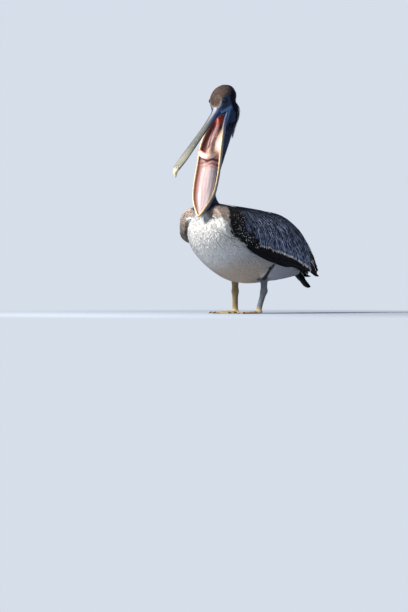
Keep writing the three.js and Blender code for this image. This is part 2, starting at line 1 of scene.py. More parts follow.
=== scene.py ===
# Young brown pelican, standing with its bill wide open: skin, feathers, horn and light
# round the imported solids. Forms are worked out in millimetres of a bird frame, whose origin
# lies on the floor between the feet, and go into their meshes in metres of the row frame.
import bpy
import mathutils
import numpy as np
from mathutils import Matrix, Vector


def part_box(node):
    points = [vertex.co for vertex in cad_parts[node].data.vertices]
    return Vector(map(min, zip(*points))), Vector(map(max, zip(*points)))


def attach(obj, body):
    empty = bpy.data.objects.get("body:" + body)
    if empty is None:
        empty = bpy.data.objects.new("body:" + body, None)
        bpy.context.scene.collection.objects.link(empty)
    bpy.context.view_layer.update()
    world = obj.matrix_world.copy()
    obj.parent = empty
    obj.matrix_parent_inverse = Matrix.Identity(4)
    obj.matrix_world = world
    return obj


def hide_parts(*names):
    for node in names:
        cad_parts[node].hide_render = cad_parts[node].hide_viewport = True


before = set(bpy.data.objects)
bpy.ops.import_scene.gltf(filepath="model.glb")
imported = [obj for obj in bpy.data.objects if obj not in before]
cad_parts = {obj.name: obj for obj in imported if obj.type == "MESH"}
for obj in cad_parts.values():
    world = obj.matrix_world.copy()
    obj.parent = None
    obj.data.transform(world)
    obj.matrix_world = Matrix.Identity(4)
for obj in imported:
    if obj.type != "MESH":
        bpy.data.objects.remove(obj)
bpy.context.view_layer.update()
mm = 0.001
rng = np.random.default_rng(11)


# Small helpers on arrays

def smooth(x, low, high):  # eased step from 0 at low to 1 at high
    t = np.clip((x - low) / (high - low), 0, 1)
    return t * t * (3 - 2 * t)


def hill(x, centre, width):  # bell of height 1 round a centre
    return np.exp(-(((x - centre) / width) ** 2))


def mixed(a, b, t):
    return a + (b - a) * t


def unit(v):
    return v / np.maximum(np.linalg.norm(v, axis=-1, keepdims=True), 1e-9)


def through(places, values, where):
    # Smooth cubic through the listed values: each slope is the rise over the two neighbours.
    x, y = np.asarray(places, float), np.asarray(values, float)
    slope = np.empty_like(y)
    slope[1:-1] = (y[2:] - y[:-2]) / (x[2:] - x[:-2])
    slope[[0, -1]] = (y[1] - y[0]) / (x[1] - x[0]), (y[-1] - y[-2]) / (x[-1] - x[-2])
    i = np.clip(np.searchsorted(x, where) - 1, 0, len(x) - 2)
    span = x[i + 1] - x[i]
    t = np.clip((where - x[i]) / span, 0, 1)
    rest = 1 - t
    ends = (1 + 2 * t) * rest**2 * y[i] + t**2 * (3 - 2 * t) * y[i + 1]
    return ends + span * t * rest * (rest * slope[i] - t * slope[i + 1])


def turns(count):  # angles round a ring
    return np.linspace(0, 2 * np.pi, count, endpoint=False)


def apart(a, b):  # how far two directions round a ring lie from each other
    return np.abs(np.angle(np.exp(1j * (a - b))))


def rounded(t, start, end):  # 1 up to start, then down a quarter circle to the end
    return np.sqrt(np.clip(1 - np.maximum(0, (t - start) / (end - start)) ** 2, 0.02, 1))


def runOf(centre):  # direction of a line at each of its points
    return unit(np.gradient(centre, axis=0))


def read(table, key, where):  # a measurement at places along its part
    return through(table["along"], table[key], where)


def eased(first, last, count):  # places that crowd towards both ends
    t = np.linspace(0, 1, count)
    return first + (last - first) * (0.55 * t + 0.45 * (0.5 - 0.5 * np.cos(np.pi * t)))


# Frames: along, side and up of the trunk, of the head with the bill, and of the lower jaw

def axesOf(origin, turnDeg, dropDeg):
    turn, drop = np.radians([turnDeg, dropDeg])
    heading = np.array([np.sin(turn), -np.cos(turn), 0.0])
    level = np.array([0.0, 0.0, 1.0])
    return {
        "origin": np.array(origin, float),
        "along": heading * np.cos(drop) - level * np.sin(drop),
        "side": np.array([np.cos(turn), np.sin(turn), 0.0]),
        "up": heading * np.sin(drop) + level * np.cos(drop),
    }


trunkAxes = axesOf([0, 0, 255], 0, -25)
headAxes = axesOf([7, -127, 783], 16, 45)
jawAxes = axesOf([13.4, -146.3, 726.4], 16, 71.4)


def placed(axes, along, side, up):  # points from three lengths in a frame
    along, side, up = np.broadcast_arrays(along, side, up)
    parts = along[..., None] * axes["along"] + side[..., None] * axes["side"]
    return axes["origin"] + parts + up[..., None] * axes["up"]


def measured(axes, points):  # the three lengths of points in a frame
    out = points - axes["origin"]
    return out @ axes["along"], out @ axes["side"], out @ axes["up"]


# Measurements of the bird, the same as those of its solids

trunk = {
    "along": [-258, -238, -186, -110, -40, 30, 110, 175, 218, 242, 252],
    "low": [6, -18, -57, -106, -144, -163, -158, -137, -108, -76, -40],
    "high": [24, 50, 106, 133, 134, 119, 95, 70, 48, 12, -22],
    "half": [0.5, 30, 66, 92, 103, 108, 110, 107, 90, 56, 0.5],
}
wing = {
    "upperDeg": 76, "lowerDeg": -14, "wall": 26, "wristWall": 52, "tipWall": 4,
    "wristDrop": {1: 0, -1: 26}, "wristOut": {1: 0, -1: 4}, "lean": 40, "shoulder": 28,
    "middle": 0.28,  # height of the arch's widest place, as a share of the way up
    "along": [-334, -302, -245, -169, -110, -60, 20, 95, 160, 200, 236, 262, 273, 277],
    "edge": [12, -1, -2, -12, -26, -35, -42, -45, -46, -52, -53, -38, -14, 4],
    "high": [25, 48, 88, 128, 142, 146, 125, 101, 84, 76, 66, 52, 32, 16],
    "half": [17, 31, 54, 86, 105, 115, 121, 125, 129, 131, 131, 125, 116, 106],
}
tail = {"root": [0, 190, 172], "tip": [0, 263, 94]}
neck = {
    "forward": [150, 178, 192, 193, 180, 153, 127, 112, 103, 110],
    "up": [300, 350, 394, 435, 490, 562, 634, 688, 730, 772],
    "radius": [84, 68, 46, 34, 31, 30, 31, 34, 40, 37],
}
head = {
    "nailFrom": 362,
    "along": [-62, -54, -36, -10, 14, 34, 48, 58, 72, 95, 162, 251, 331, 362, 382, 394, 401],
    "low": [-4, -26, -41, -47, -47, -44, -38, -32, -27, -20, -13, -8, -4, -4, -7, -14, -17],
    "high": [0, 17, 34, 46, 48, 42, 28, 13, 3.5, 1.5, 2, 5, 8.5, 11, 10.5, 5, -11],
    "half": [0.5, 20, 32, 39.5, 41, 38.5, 31, 25, 20, 17, 14.5, 17.5, 20, 16.5, 10, 5.5, 0.5],
}
eye = {"along": 31, "up": 14, "side": 29, "radius": 9}
jaw = {
    "along": [-12, 0, 44, 98, 140, 202, 245, 287, 318, 348, 372, 389, 394],
    "half": [28.5, 30, 33, 43.5, 48.5, 51, 52, 50, 44.5, 32, 17.5, 6, 0],
    "rise": [-6, -2.5, 3.5, 11, 11, 4, 1, -1, -1, 0, 0, 0, 0],
    "wide": [3.0, 3.0, 3.2, 3.2, 3, 2.8, 2.8, 2.8, 2.8, 3, 3.4, 4, 4],
    "deep": [2.5, 5.5, 8, 7, 6.2, 5.4, 5, 5, 5, 5, 5, 5, 5],
}
leg = {
    "side": 64, "hip": {1: -15, -1: 24}, "hock": {1: -14, -1: 23}, "foot": {1: 10, -1: 23},
    "hipUp": 165, "hockUp": 80, "ankleUp": 13,
}
foot = {
    "web": 3.0,
    "turnDeg": [19, -4, -36, -98], "length": [92, 97, 71, 40],
    "root": [8.5, 9, 8, 6.5], "tip": [4.6, 4.8, 4.4, 3.8], "claw": [12, 13, 11, 9],
}
toeNames = ["outer", "middle", "inner", "hind"]
sides = {"left": 1, "right": -1}


# Meshes

def tubeFaces(rows, cols):  # quads between closed rings, and a fan over each end
    i, j = np.meshgrid(np.arange(rows - 1), np.arange(cols), indexing="ij")
    k = (j + 1) % cols
    quads = np.stack([i * cols + j, i * cols + k, (i + 1) * cols + k, (i + 1) * cols + j], -1)
    ring = np.arange(cols)
    after = (ring + 1) % cols
    first = np.stack([np.full(cols, rows * cols), after, ring], -1)
    end = (rows - 1) * cols
    last = np.stack([np.full(cols, rows * cols + 1), end + ring, end + after], -1)
    return [quads.reshape(-1, 4), np.concatenate([first, last])]


def tubeForm(grid):  # points and faces of a closed tube through a grid of rings
    rows, cols = grid.shape[:2]
    ends = np.stack([grid[0].mean(0), grid[-1].mean(0)])
    return np.concatenate([grid.reshape(-1, 3), ends]), tubeFaces(rows, cols)


def withEnds(field):  # a value per grid point, with one more for each end of the tube
    return np.concatenate([field.ravel(), [field[0].mean(), field[-1].mean()]])


def volumeOf(points, faces):  # signed: negative where the faces point inwards
    total = 0.0
    for part in faces:
        corners = points[part]
        for k in range(1, part.shape[1] - 1):
            crossed = np.cross(corners[:, k], corners[:, k + 1])
            total += np.einsum("ij,ij->i", corners[:, 0], crossed).sum()
    return total / 6


def joined(forms):  # several closed forms as one set of points and faces
    points, faces, count = [], [], 0
    for form, parts in forms:
        outward = volumeOf(form - form.mean(0), parts) > 0
        faces += [(part if outward else part[:, ::-1]) + count for part in parts]
        points.append(form)
        count += len(form)
    return np.concatenate(points), faces


def makePiece(name, points, faces, uv=None, values=None):
    # A mesh object from arrays: uv and values are per point.
    mesh = bpy.data.meshes.new(name)
    corners = np.concatenate([part.ravel() for part in faces]).astype(np.int32)
    sizes = np.concatenate([np.full(len(part), part.shape[1]) for part in faces])
    starts = (np.cumsum(sizes) - sizes).astype(np.int32)
    mesh.vertices.add(len(points))
    mesh.vertices.foreach_set("co", toRow(points).astype(np.float32).ravel())
    mesh.loops.add(len(corners))
    mesh.loops.foreach_set("vertex_index", corners)
    mesh.polygons.add(len(sizes))
    mesh.polygons.foreach_set("loop_start", starts)
    mesh.polygons.foreach_set("use_smooth", np.ones(len(sizes), bool))
    mesh.update(calc_edges=True)
    for key, flat in (uv or {}).items():
        layer = mesh.uv_layers.new(name=key)
        layer.data.foreach_set("uv", flat[corners].astype(np.float32).ravel())
    for key, value in (values or {}).items():
        keep(mesh, key, value)
    return linked(name, mesh)


def tubePiece(name, grid, values, finish, slot, node):
    # A closed tube through a grid of rings, finished. A value may be per ring or per place round.
    fields = {key: withEnds(np.broadcast_to(x, grid.shape[:2])) for key, x in values.items()}
    piece = makePiece(name, *joined([tubeForm(grid)]), values=fields)
    return finished(piece, finish, slot, node)


def linked(name, data):  # an object in the scene, at the origin
    made = bpy.data.objects.new(name, data)
    bpy.context.scene.collection.objects.link(made)
    return made


def keep(mesh, key, value):  # a number or a vector for each point, as an attribute
    kind = "FLOAT_VECTOR" if value.ndim == 2 else "FLOAT"
    made = mesh.attributes.new(key, kind, "POINT")
    made.data.foreach_set("vector" if value.ndim == 2 else "value", value.astype(np.float32).ravel())


def finished(piece, finish, slot, *nodes):  # material, body and the solids it stands for; slot is not used
    piece.data.materials.clear()
    piece.data.materials.append(finish)
    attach(piece, "root")
    if nodes:
        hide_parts(*nodes)
    return piece


# Forms

def bodyGrid(axes, table, stops, sideCount, power, inset):
    # Rings across a frame: half width times cos, and middle plus half height times sin, of an
    # angle, each raised to a power just under 1 so that the ring is a little squared.
    low, high, half = (read(table, key, stops) for key in ("low", "high", "half"))
    a = turns(sideCount)
    ring = np.stack([np.sign(f) * np.abs(f) ** power for f in (np.cos(a), np.sin(a))])
    wide = np.maximum(half - inset, 0.5)[:, None]
    tall = np.maximum((high - low) / 2 - inset, 0.5)[:, None]
    middle = ((high + low) / 2)[:, None]
    return placed(axes, stops[:, None], wide * ring[0], middle + tall * ring[1])


def trunkGrid(inset, rings=60, sideCount=56):
    stops = eased(trunk["along"][0], trunk["along"][-1], rings)
    grid = bodyGrid(trunkAxes, trunk, stops, sideCount, 0.94, inset)
    return grid - inset * trunkAxes["along"] * np.linspace(-1, 1, rings)[:, None, None] ** 9


ownBox = trunkGrid(0, 18, 24).reshape(-1, 3)
birdShift = (np.array(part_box("trunk")).mean(0) / mm) - (ownBox.min(0) + ownBox.max(0)) / 2
birdShift[2] = 0


def toRow(points):
    return (points + birdShift) * mm


def fromRow(points):
    return points / mm - birdShift


def neckLine(t):  # centre, forward direction and radius at a share of the neck's length
    place = t * (len(neck["up"]) - 1)
    index = np.arange(len(neck["up"]))
    forward = through(index, neck["forward"], place)
    up = through(index, neck["up"], place)
    centre = np.stack([np.zeros_like(t), -forward, up], -1)
    front = np.cross(runOf(centre), [1.0, 0, 0])
    return centre, front, through(neck["up"], neck["radius"], up)


def sweep(centre, across, other, wide, deep, sideCount):  # oval rings on a line
    a = turns(sideCount)
    wide, deep = (np.broadcast_to(x, centre.shape[:1])[:, None] for x in (wide, deep))
    across, other = (np.broadcast_to(x, centre.shape) for x in (across, other))
    first = (wide * np.cos(a))[..., None] * across[:, None]
    return centre[:, None] + first + (deep * np.sin(a))[..., None] * other[:, None]


def foldAt(along):  # 1 over the wrist, where the wing's face draws back
    return smooth(along, 90, 215)


def wingPoint(sign, along, v, inset):
    # Outer face of the folded wing. v runs from 0 at the shoulder line to 1 at the lower edge, on
    # an arch from 76 to -14 degrees: out to the side by half width times cos, up by height times
    # sin. Towards the wrist the face draws back below and towards the spine.
    fold = foldAt(along)
    edge = read(wing, "edge", along) - wing["wristDrop"][sign] * fold
    high = read(wing, "high", along)
    half = read(wing, "half", along) + wing["wristOut"][sign] * fold
    upper, lower = np.radians([wing["upperDeg"], wing["lowerDeg"]])
    a = upper + (lower - upper) * v
    middle = edge + (high - edge) * wing["middle"]
    rise = (high - middle) / np.sin(upper)
    fall = (middle - edge) / np.sin(-lower)
    tall = np.where(a > 0, rise - inset, fall)
    up = middle + tall * np.sin(a)
    below = (high - up) / (high - edge)
    back = fold * (wing["lean"] * below + wing["shoulder"] * np.maximum(0, np.sin(a)) ** 3)
    return placed(trunkAxes, along - back, sign * (half - inset) * np.cos(a), up)


def wingWall(along):  # how thick the folded wing is
    free = smooth(along, -250, -120)
    full = mixed(wing["tipWall"], wing["wall"], free)
    full = full + (wing["wristWall"] - wing["wall"]) * foldAt(along)
    return np.minimum(full, read(wing, "half", along) * 0.45)


def wingGrid(sign, inset, first, rings=70, arcs=30):
    along = eased(first, wing["along"][-1] - inset, rings)[:, None]
    v = np.linspace(0, 1, arcs)[None]
    lip = np.sin(np.pi * (9 * v + 0.6) / 10.2) ** 0.35
    shown = np.minimum(inset, wingWall(along) * 0.3)
    outer = wingPoint(sign, along, mixed(0.02, 0.985, v), shown)
    inner = wingPoint(sign, along, mixed(0.02, 0.985, v), (wingWall(along) - shown) * lip)
    return np.concatenate([outer, inner[:, ::-1]], 1)


def legLine(sign):
    hip, hock, low = leg["hip"][sign], leg["hock"][sign], leg["foot"][sign]
    stops = np.array([0, 0.5, 0.8, 1])
    forward = np.concatenate([mixed(hip, hock, stops), mixed(hock, low, np.array([0.3, 0.75, 1]))])
    up = np.concatenate([
        mixed(leg["hipUp"], leg["hockUp"], stops),
        mixed(leg["hockUp"], leg["ankleUp"], np.array([0.3, 0.75])),
        [leg["ankleUp"] - 6],
    ])
    wide = np.array([24, 14.5, 12, 12.5, 9.5, 9, 11])
    deep = np.array([26, 16, 13, 14, 12, 11.5, 12])
    t = np.linspace(0, 6, 48)
    forward, up, wide, deep = (through(np.arange(7), x, t) for x in (forward, up, wide, deep))
    hockSwell = 1 + 0.07 * hill(up, leg["hockUp"], 9) - 0.05 * hill(up, leg["hockUp"] + 26, 14)
    centre = np.stack([np.full_like(t, sign * leg["side"]), -forward, up], -1)
    return centre, wide * hockSwell, deep * hockSwell


def toeAngle(sign, turnDeg):
    turn = np.radians(turnDeg)
    return np.stack([sign * np.sin(turn), -np.cos(turn), 0 * turn], -1)


def footBase(sign):
    return np.array([sign * leg["side"], -leg["foot"][sign], 0.0])


def toeForm(sign, k):
    # Rounded toe, flat below: three pads along it and a knuckle between each two.
    run = toeAngle(sign, np.float64(foot["turnDeg"][k]))
    across = np.array([-run[1], run[0], 0])
    t = eased(-0.04, 1, 26)
    wide = mixed(foot["root"][k], foot["tip"][k], np.sqrt(np.maximum(t, 0)))
    wide = wide * rounded(t, 0.9, 1)
    wide = wide * (1 + 0.07 * np.cos(2 * np.pi * t * 3.2))
    centre = footBase(sign) + t[:, None] * foot["length"][k] * run
    a = turns(16)
    up = wide[:, None] * (np.where(np.sin(a) > 0, 1.25, 0.5) * np.sin(a) + 0.35)
    flat = centre[:, None] + (wide[:, None] * np.cos(a))[..., None] * across
    flat[..., 2] = np.maximum(up, 0.0)
    return tubeForm(flat)


def webForm(sign, k):
    # Skin between toe k and the next: radial strips whose outer ends draw in along a bay.
    t = np.linspace(0, 1, 14)
    turn = mixed(foot["turnDeg"][k], foot["turnDeg"][k + 1], t)
    far = mixed(foot["length"][k], foot["length"][k + 1], t) * 0.95 * (1 - 0.5 * t * (1 - t))
    r = np.array([0.05, 0.5, 0.95, 1, 0.95, 0.5, 0.05])
    up = np.array([0.0, 0, 0, 0.5, 1, 1, 1]) * foot["web"]
    run = toeAngle(sign, turn)
    grid = footBase(sign) + run[:, None] * (far[:, None] * r)[..., None]
    grid[..., 2] = up * (1 + 0.15 * np.sin(r * 9))
    return tubeForm(grid)


def footForms(sign):
    a = turns(22)
    b = np.linspace(-0.48 * np.pi, 0.48 * np.pi, 12)
    ball = np.stack([
        np.outer(np.cos(b), np.cos(a)) * 14,
        np.outer(np.cos(b), np.sin(a)) * 14.7,
        np.maximum(np.outer(np.sin(b), np.ones_like(a)) * 11 + 5.5, 0),
    ], -1)
    toes = [toeForm(sign, k) for k in range(4)]
    webs = [webForm(sign, k) for k in range(3)]
    return toes + webs + [tubeForm(ball + footBase(sign) * [1, 1, 0])]


def tailAxes():
    root, tip = np.array(tail["root"], float), np.array(tail["tip"], float)
    run = unit(tip - root)
    return root, tip, run, np.cross(run, [1.0, 0, 0])


# Skin: one surface under all the feathers, bare on the face and legs

skinLook = {
    "voxel": 1.9,  # cell of the surface that joins the forms
    "plumageDepth": 5.0,  # how far under the feather tips the body's skin lies
    "smoothing": 5,
    "kept": 0.36,  # share of the joined surface's triangles
    "cleftDepth": 9.0, "ridgeHeight": 3.0,
}


def headInset(along, up):  # the skull lies deeper where feathers cover it than on the bare face
    return mixed(0.6, 3.2, featherCap(along, up))


def browLine(along):  # height of the crown's lower edge
    return mixed(27, 7, smooth(along, 22, 58)) + 4 * hill(along, 40, 12)


def featherCap(along, up):
    # 1 where the head is feathered: above a line from the bill's base over the eye, and behind it.
    over = up - browLine(along)
    behind = 9 - along - 0.1 * (up + 20)
    return smooth(np.maximum(over, behind), -3, 3)


def headGrid():
    stops = eased(head["along"][0], 84, 56)
    grid = bodyGrid(headAxes, head, stops, 64, 0.96, 0)
    along, _, up = measured(headAxes, grid)
    depth = headInset(along, up) + 4.5 * smooth(along, 60, 84)
    middle = (read(head, "low", stops) + read(head, "high", stops)) / 2
    centre = placed(headAxes, stops, 0, middle)[:, None]
    out = unit(grid - centre)
    return grid - out * np.minimum(depth, np.linalg.norm(grid - centre, axis=-1) - 0.4)[..., None]


def jawLine(sign, along, inward=0.0, rise=0.0):  # middle of a ramus
    half = read(jaw, "half", along) - inward
    return placed(jawAxes, along, sign * half, read(jaw, "rise", along) + rise)


def cheekForm(sign):
    # Loose skin behind the corner of the mouth: from the side of the face down behind the ramus.
    t = np.linspace(0, 1, 26)
    top = placed(headAxes, 12, sign * 28, -22)
    hinge = jawLine(sign, np.array([6.0]), 2, -10)[0]
    low = jawLine(sign, np.array([46.0 if sign > 0 else 22.0]), 6, -27)[0]
    marks = np.stack([top, mixed(top, hinge, 0.5) + [0, 3, 0], hinge, mixed(hinge, low, 0.5), low])
    centre = np.stack([through(np.linspace(0, 1, 5), marks[:, k], t) for k in range(3)], -1)
    across = unit(np.cross(runOf(centre), jawAxes["up"]))
    wide = through([0, 0.3, 0.5, 1], [9, 6.5, 5, 2], t)
    deep = through([0, 0.3, 0.5, 1], [16, 15, 10, 3], t)
    return tubeForm(sweep(centre, across, jawAxes["up"], wide, deep, 20))


def bodyForms():
    depth = skinLook["plumageDepth"]
    centre, front, radius = neckLine(np.linspace(0, 1, 60))
    slim = radius - mixed(3.5, depth, smooth(centre[:, 2], 700, 500))
    forms = [
        tubeForm(trunkGrid(depth)),
        tubeForm(sweep(centre, [1.0, 0, 0], front, slim, slim, 40)),
        tubeForm(headGrid()),
    ]
    root, tip, _, tailUp = tailAxes()
    t = np.linspace(-0.25, 0.45, 12)
    rump = root + t[:, None] * (tip - root)
    wide, deep = mixed(20, 12, smooth(t, 0, 0.45)), mixed(9, 4, smooth(t, -0.2, 0.45))
    forms.append(tubeForm(sweep(rump, [1.0, 0, 0], tailUp, wide, deep, 20)))
    for sign in sides.values():
        forms.append(tubeForm(wingGrid(sign, depth, -300)))
        line, wide, deep = legLine(sign)
        forms.append(tubeForm(sweep(line, [1.0, 0, 0], [0, 1.0, 0], wide - 0.3, deep - 0.3, 28)))
        forms += footForms(sign)
        forms.append(cheekForm(sign))
    return forms


def fused(name, points, faces):
    # The overlapping forms as one closed surface: a fine grid of cells, smoothed, then thinned
    # where it is flat.
    rough = makePiece(name + "Rough", points, faces)
    cells = rough.modifiers.new("cells", "REMESH")
    cells.mode = "VOXEL"
    cells.voxel_size = skinLook["voxel"] * mm
    soft = rough.modifiers.new("soft", "SMOOTH")
    soft.factor = 0.5
    soft.iterations = skinLook["smoothing"]
    thin = rough.modifiers.new("thin", "DECIMATE")
    thin.ratio = skinLook["kept"]
    graph = bpy.context.evaluated_depsgraph_get()
    mesh = bpy.data.meshes.new_from_object(rough.evaluated_get(graph), depsgraph=graph)
    bpy.data.objects.remove(rough)
    mesh.name = name
    mesh.shade_smooth()
    return linked(name, mesh)


def wingPlace(points):
    # Where points lie on the folded wing: place along it and share of the arch from its top line
    # to its lower edge. The drawing back of the wrist is undone in three passes.
    along, side, up = measured(trunkAxes, points)
    upper, lower = np.radians([wing["upperDeg"], wing["lowerDeg"]])
    place = along
    for _ in range(3):
        fold = foldAt(place)
        edge = read(wing, "edge", place)
        edge = edge - np.where(side > 0, wing["wristDrop"][1], wing["wristDrop"][-1]) * fold
        high = read(wing, "high", place)
        middle = edge + (high - edge) * wing["middle"]
        sine = np.where(up > middle, (up - middle) / (high - middle) * np.sin(upper),
                        (up - middle) / (middle - edge) * np.sin(-lower))
        below = np.clip((high - up) / (high - edge), 0, 1)
        back = fold * (wing["lean"] * below + wing["shoulder"] * np.clip(sine, 0, 1) ** 3)
        place = along + back
    return place, (upper - np.arcsin(np.clip(sine, -1, 1))) / (upper - lower)


def legNear(points):  # 1 close round the shafts of the legs
    z = points[:, 2]
    weight = 0
    for sign in sides.values():
        stops = [leg["ankleUp"], leg["hockUp"], leg["hipUp"]]
        forward = np.interp(z, stops, [leg["foot"][sign], leg["hock"][sign], leg["hip"][sign]])
        away = np.hypot(points[:, 0] - sign * leg["side"], points[:, 1] + forward)
        weight = np.maximum(weight, smooth(away, 36, 27))
    return weight


def thighCleft(points, width=5):
    # 1 in the crease between the thigh and the flank behind it, a line that leans back upwards.
    lean = points[:, 1] - 4 + np.where(points[:, 0] > 0, 0, 39) - 0.55 * (points[:, 2] - 120)
    ends = smooth(points[:, 2], 112, 132) * smooth(points[:, 2], 206, 192)
    return hill(lean, 0, width) * ends * smooth(np.abs(points[:, 0]), 46, 60)


def wristRidge(points):  # 1 on the low ridge down the near wing's wrist
    place, share = wingPlace(points)
    shown = smooth(share, 0.3, 0.45) * smooth(share, 0.95, 0.85) * smooth(points[:, 0], 84, 100)
    return hill(place, 224 + 16 * share, 5) * shown * (points[:, 2] > 300) * (points[:, 1] < -150)


def edgeLift(place):  # how much higher the belly's feathers reach over the wing's edge
    return 11 * hill(place, 42, 52)


def pastFront(place, share):  # 1 beyond the near wing's front border, which runs down and back
    border = 246 - 48 * smooth(share, 0.72, 1.0)
    return smooth(place, border - 5, border + 5)


def meshPoints(mesh):
    co = np.empty(len(mesh.vertices) * 3, np.float32)
    mesh.vertices.foreach_get("co", co)
    return fromRow(co.reshape(-1, 3).astype(float))


def meshTriangles(mesh):
    mesh.calc_loop_triangles()
    corners = np.empty(len(mesh.loop_triangles) * 3, np.int32)
    mesh.loop_triangles.foreach_get("vertices", corners)
    return corners.reshape(-1, 3)


eyeLook = {"opening": 6.6, "openingUp": 5.5, "lid": 1.25, "socket": 5.2}
skin = fused("body_skin", *joined(bodyForms()))
skinPoints = meshPoints(skin.data)
skinPoints[:, 2] = np.maximum(skinPoints[:, 2], 0.0)
for sign in sides.values():  # the eyes' sockets
    out = skinPoints - placed(headAxes, eye["along"], sign * eye["side"], eye["up"])
    away = np.linalg.norm(out - (out @ headAxes["side"])[:, None] * headAxes["side"], axis=1)
    near = hill(away, 0, 7.5) * smooth(sign * (out @ headAxes["side"]), -3, 2)
    skinPoints -= (eyeLook["socket"] * sign * near)[:, None] * headAxes["side"]
outward = unit(skinPoints * [1, 0, 0])
skinPoints -= (skinLook["cleftDepth"] * thighCleft(skinPoints))[:, None] * outward
skinPoints += (skinLook["ridgeHeight"] * wristRidge(skinPoints))[:, None] * outward
skin.data.vertices.foreach_set("co", toRow(skinPoints).astype(np.float32).ravel())
skinFaces = meshTriangles(skin.data)
print("skin:", len(skinFaces), "triangles")


def onSkin(points):
    # The nearest place on the skin and the way out of it there, from two shrink-wrapped copies of
    # the points, one on the surface and one a little above it.
    found = []
    probe = makePiece("probe", points, [np.array([[0, 1, 2]])])
    wrap = probe.modifiers.new("wrap", "SHRINKWRAP")
    wrap.target = skin
    wrap.wrap_method = "NEAREST_SURFACEPOINT"
    wrap.wrap_mode = "ABOVE_SURFACE"
    for lift in (0.0, 4.0):
        wrap.offset = lift * mm
        graph = bpy.context.evaluated_depsgraph_get()
        found.append(meshPoints(probe.evaluated_get(graph).to_mesh()))
        probe.evaluated_get(graph).to_mesh_clear()
    bpy.data.objects.remove(probe)
    return found[0], unit(found[1] - found[0])


# Markings: how much each kind of plumage or bare skin counts at a point

# Weight of the painted shade round the eye, over the socket pushed into the skin.
def eyeSocketShade(points):
    along, side, up = measured(headAxes, points)
    away = np.hypot(along - eye["along"], up - eye["up"])
    return smooth(away, 13, 8) * smooth(np.abs(side), 18, 24) * smooth(points[:, 2], 700, 720)


def markings(points):
    # Weights of each kind of plumage and bare skin, from places in the frames of the head, the
    # jaw and the trunk and on the folded wing, eased into one another.
    headAlong, _, headUp = measured(headAxes, points)
    along, side, up = measured(trunkAxes, points)
    jawAlong, jawSide, jawUp = measured(jawAxes, points)
    z = points[:, 2]
    isHead = smooth(z + 0.25 * headAlong, 690, 724)
    cap = featherCap(headAlong, headUp)
    face = isHead * (1 - cap) * smooth(headAlong, -2, 8)
    cheek = smooth(jawUp, -31, -23) * smooth(np.abs(jawSide), 14, 20) * smooth(jawAlong, 180, 60)
    cheek = cheek * smooth(z, 560, 600) * smooth(headAlong, -12, 4)
    face = smooth(np.maximum(face, cheek * (1 - isHead * cap)), 0.25, 0.75)
    crown = isHead * cap * smooth(headUp + 0.3 * headAlong, 12, 20) * smooth(headAlong, -37, -23)
    legs = np.maximum(smooth(z, 92, 86), smooth(z, 138, 128) * legNear(points))
    shoulder = 34 * smooth(np.abs(points[:, 0]), 46, 76)
    dusky = smooth(z, 362 + shoulder, 388 + shoulder)
    nape = np.maximum(dusky, isHead) * (1 - crown) * (1 - face)
    trunkHalf = read(trunk, "half", along)
    wingEdge = read(wing, "edge", along) + edgeLift(along)
    wingEdge = wingEdge - np.where(side > 0, 0, 26) * smooth(along, 90, 200)
    front = np.where(side > 0, 66, 78) * smooth(along, 170, 215)
    out = np.maximum(trunkHalf + 2, front)
    onWing = smooth(np.abs(side), out, out + 5) * smooth(up, wingEdge - 6, wingEdge)
    onWing = np.maximum(onWing, smooth(up, 88, 100) * smooth(along, 215, 190))
    onWing = np.maximum(onWing, smooth(along, -150, -165) * smooth(up, wingEdge - 8, wingEdge))
    patch = smooth(side, 28, 42) * smooth(up, -28, -12) * smooth(along, 206, 222) * smooth(z, 410, 385)
    onWing = np.maximum(onWing, patch)
    place, share = wingPlace(points)
    lowFront = np.maximum(smooth(z, 344, 330), smooth(share, 0.70, 0.80))
    onWing = onWing * (1 - pastFront(place, share) * lowFront * (side > 0))
    shoulderTop = smooth(np.abs(side), 44, 60) * smooth(z, 350, 364) * smooth(z, 470, 440)
    mantle = np.maximum(onWing, np.maximum(smooth(up, 50, 70) * smooth(along, 222, 205), shoulderTop))
    nearWrist = smooth(place, 224, 230) * smooth(share, 0.9, 0.8)
    wrist = np.where(side > 0, nearWrist, smooth(place, 150, 200)) * mantle
    ridge = np.minimum(1, onWing * wristRidge(points) * 1.5)
    under = (1 - mantle) * (1 - np.maximum(dusky, isHead)) * (1 - legs)
    breast = under * smooth(along + 0.5 * up, 10, 120)
    belly = under - breast
    pale = hill(headUp - 0.25 * headAlong, -29, 6.5) * smooth(jawAlong, 60, 10) * smooth(headAlong, 8, 26)
    gapeEdge = hill(headUp + 0.55 * headAlong, -7, 4) * smooth(headAlong, 20, 34)
    pale = np.maximum(pale, gapeEdge)
    half = read(jaw, "half", jawAlong)
    within = half - np.abs(jawSide)
    mouth = smooth(within, -1, 2.5) * smooth(jawUp + 0.8 * np.maximum(within, 0), -9, -4)
    mouth = mouth * smooth(jawAlong, -4, 6) * smooth(jawAlong, 120, 90)
    mouth = mouth * smooth(headUp, -24, -31)
    brow = isHead * hill(headUp - browLine(headAlong), 1.0, 1.8) * smooth(headAlong, 30, 42)
    mouth = np.stack([mouth, brow, ridge], -1)
    return {
        "plumageA": np.stack([crown, nape, mantle], -1),
        "plumageB": np.stack([breast, belly, face], -1),
        "bare": np.stack([legs, pale, wrist], -1),
        "mouth": mouth,
        # Painted shade: the crease behind the thigh and the socket round the eye are darkened.
        "dark": np.maximum(smooth(thighCleft(points, 10), 0.15, 0.75), eyeSocketShade(points)),
    }


for key, value in markings(skinPoints).items():
    keep(skin.data, key, value)


# Nodes and finishes

def paint(code):  # a colour as Blender wants it, from six hexadecimal digits
    share = np.array([int(code[k:k + 2], 16) for k in (0, 2, 4)]) / 255
    flat = np.where(share <= 0.04045, share / 12.92, ((share + 0.055) / 1.055) ** 2.4)
    return (*flat.tolist(), 1.0)


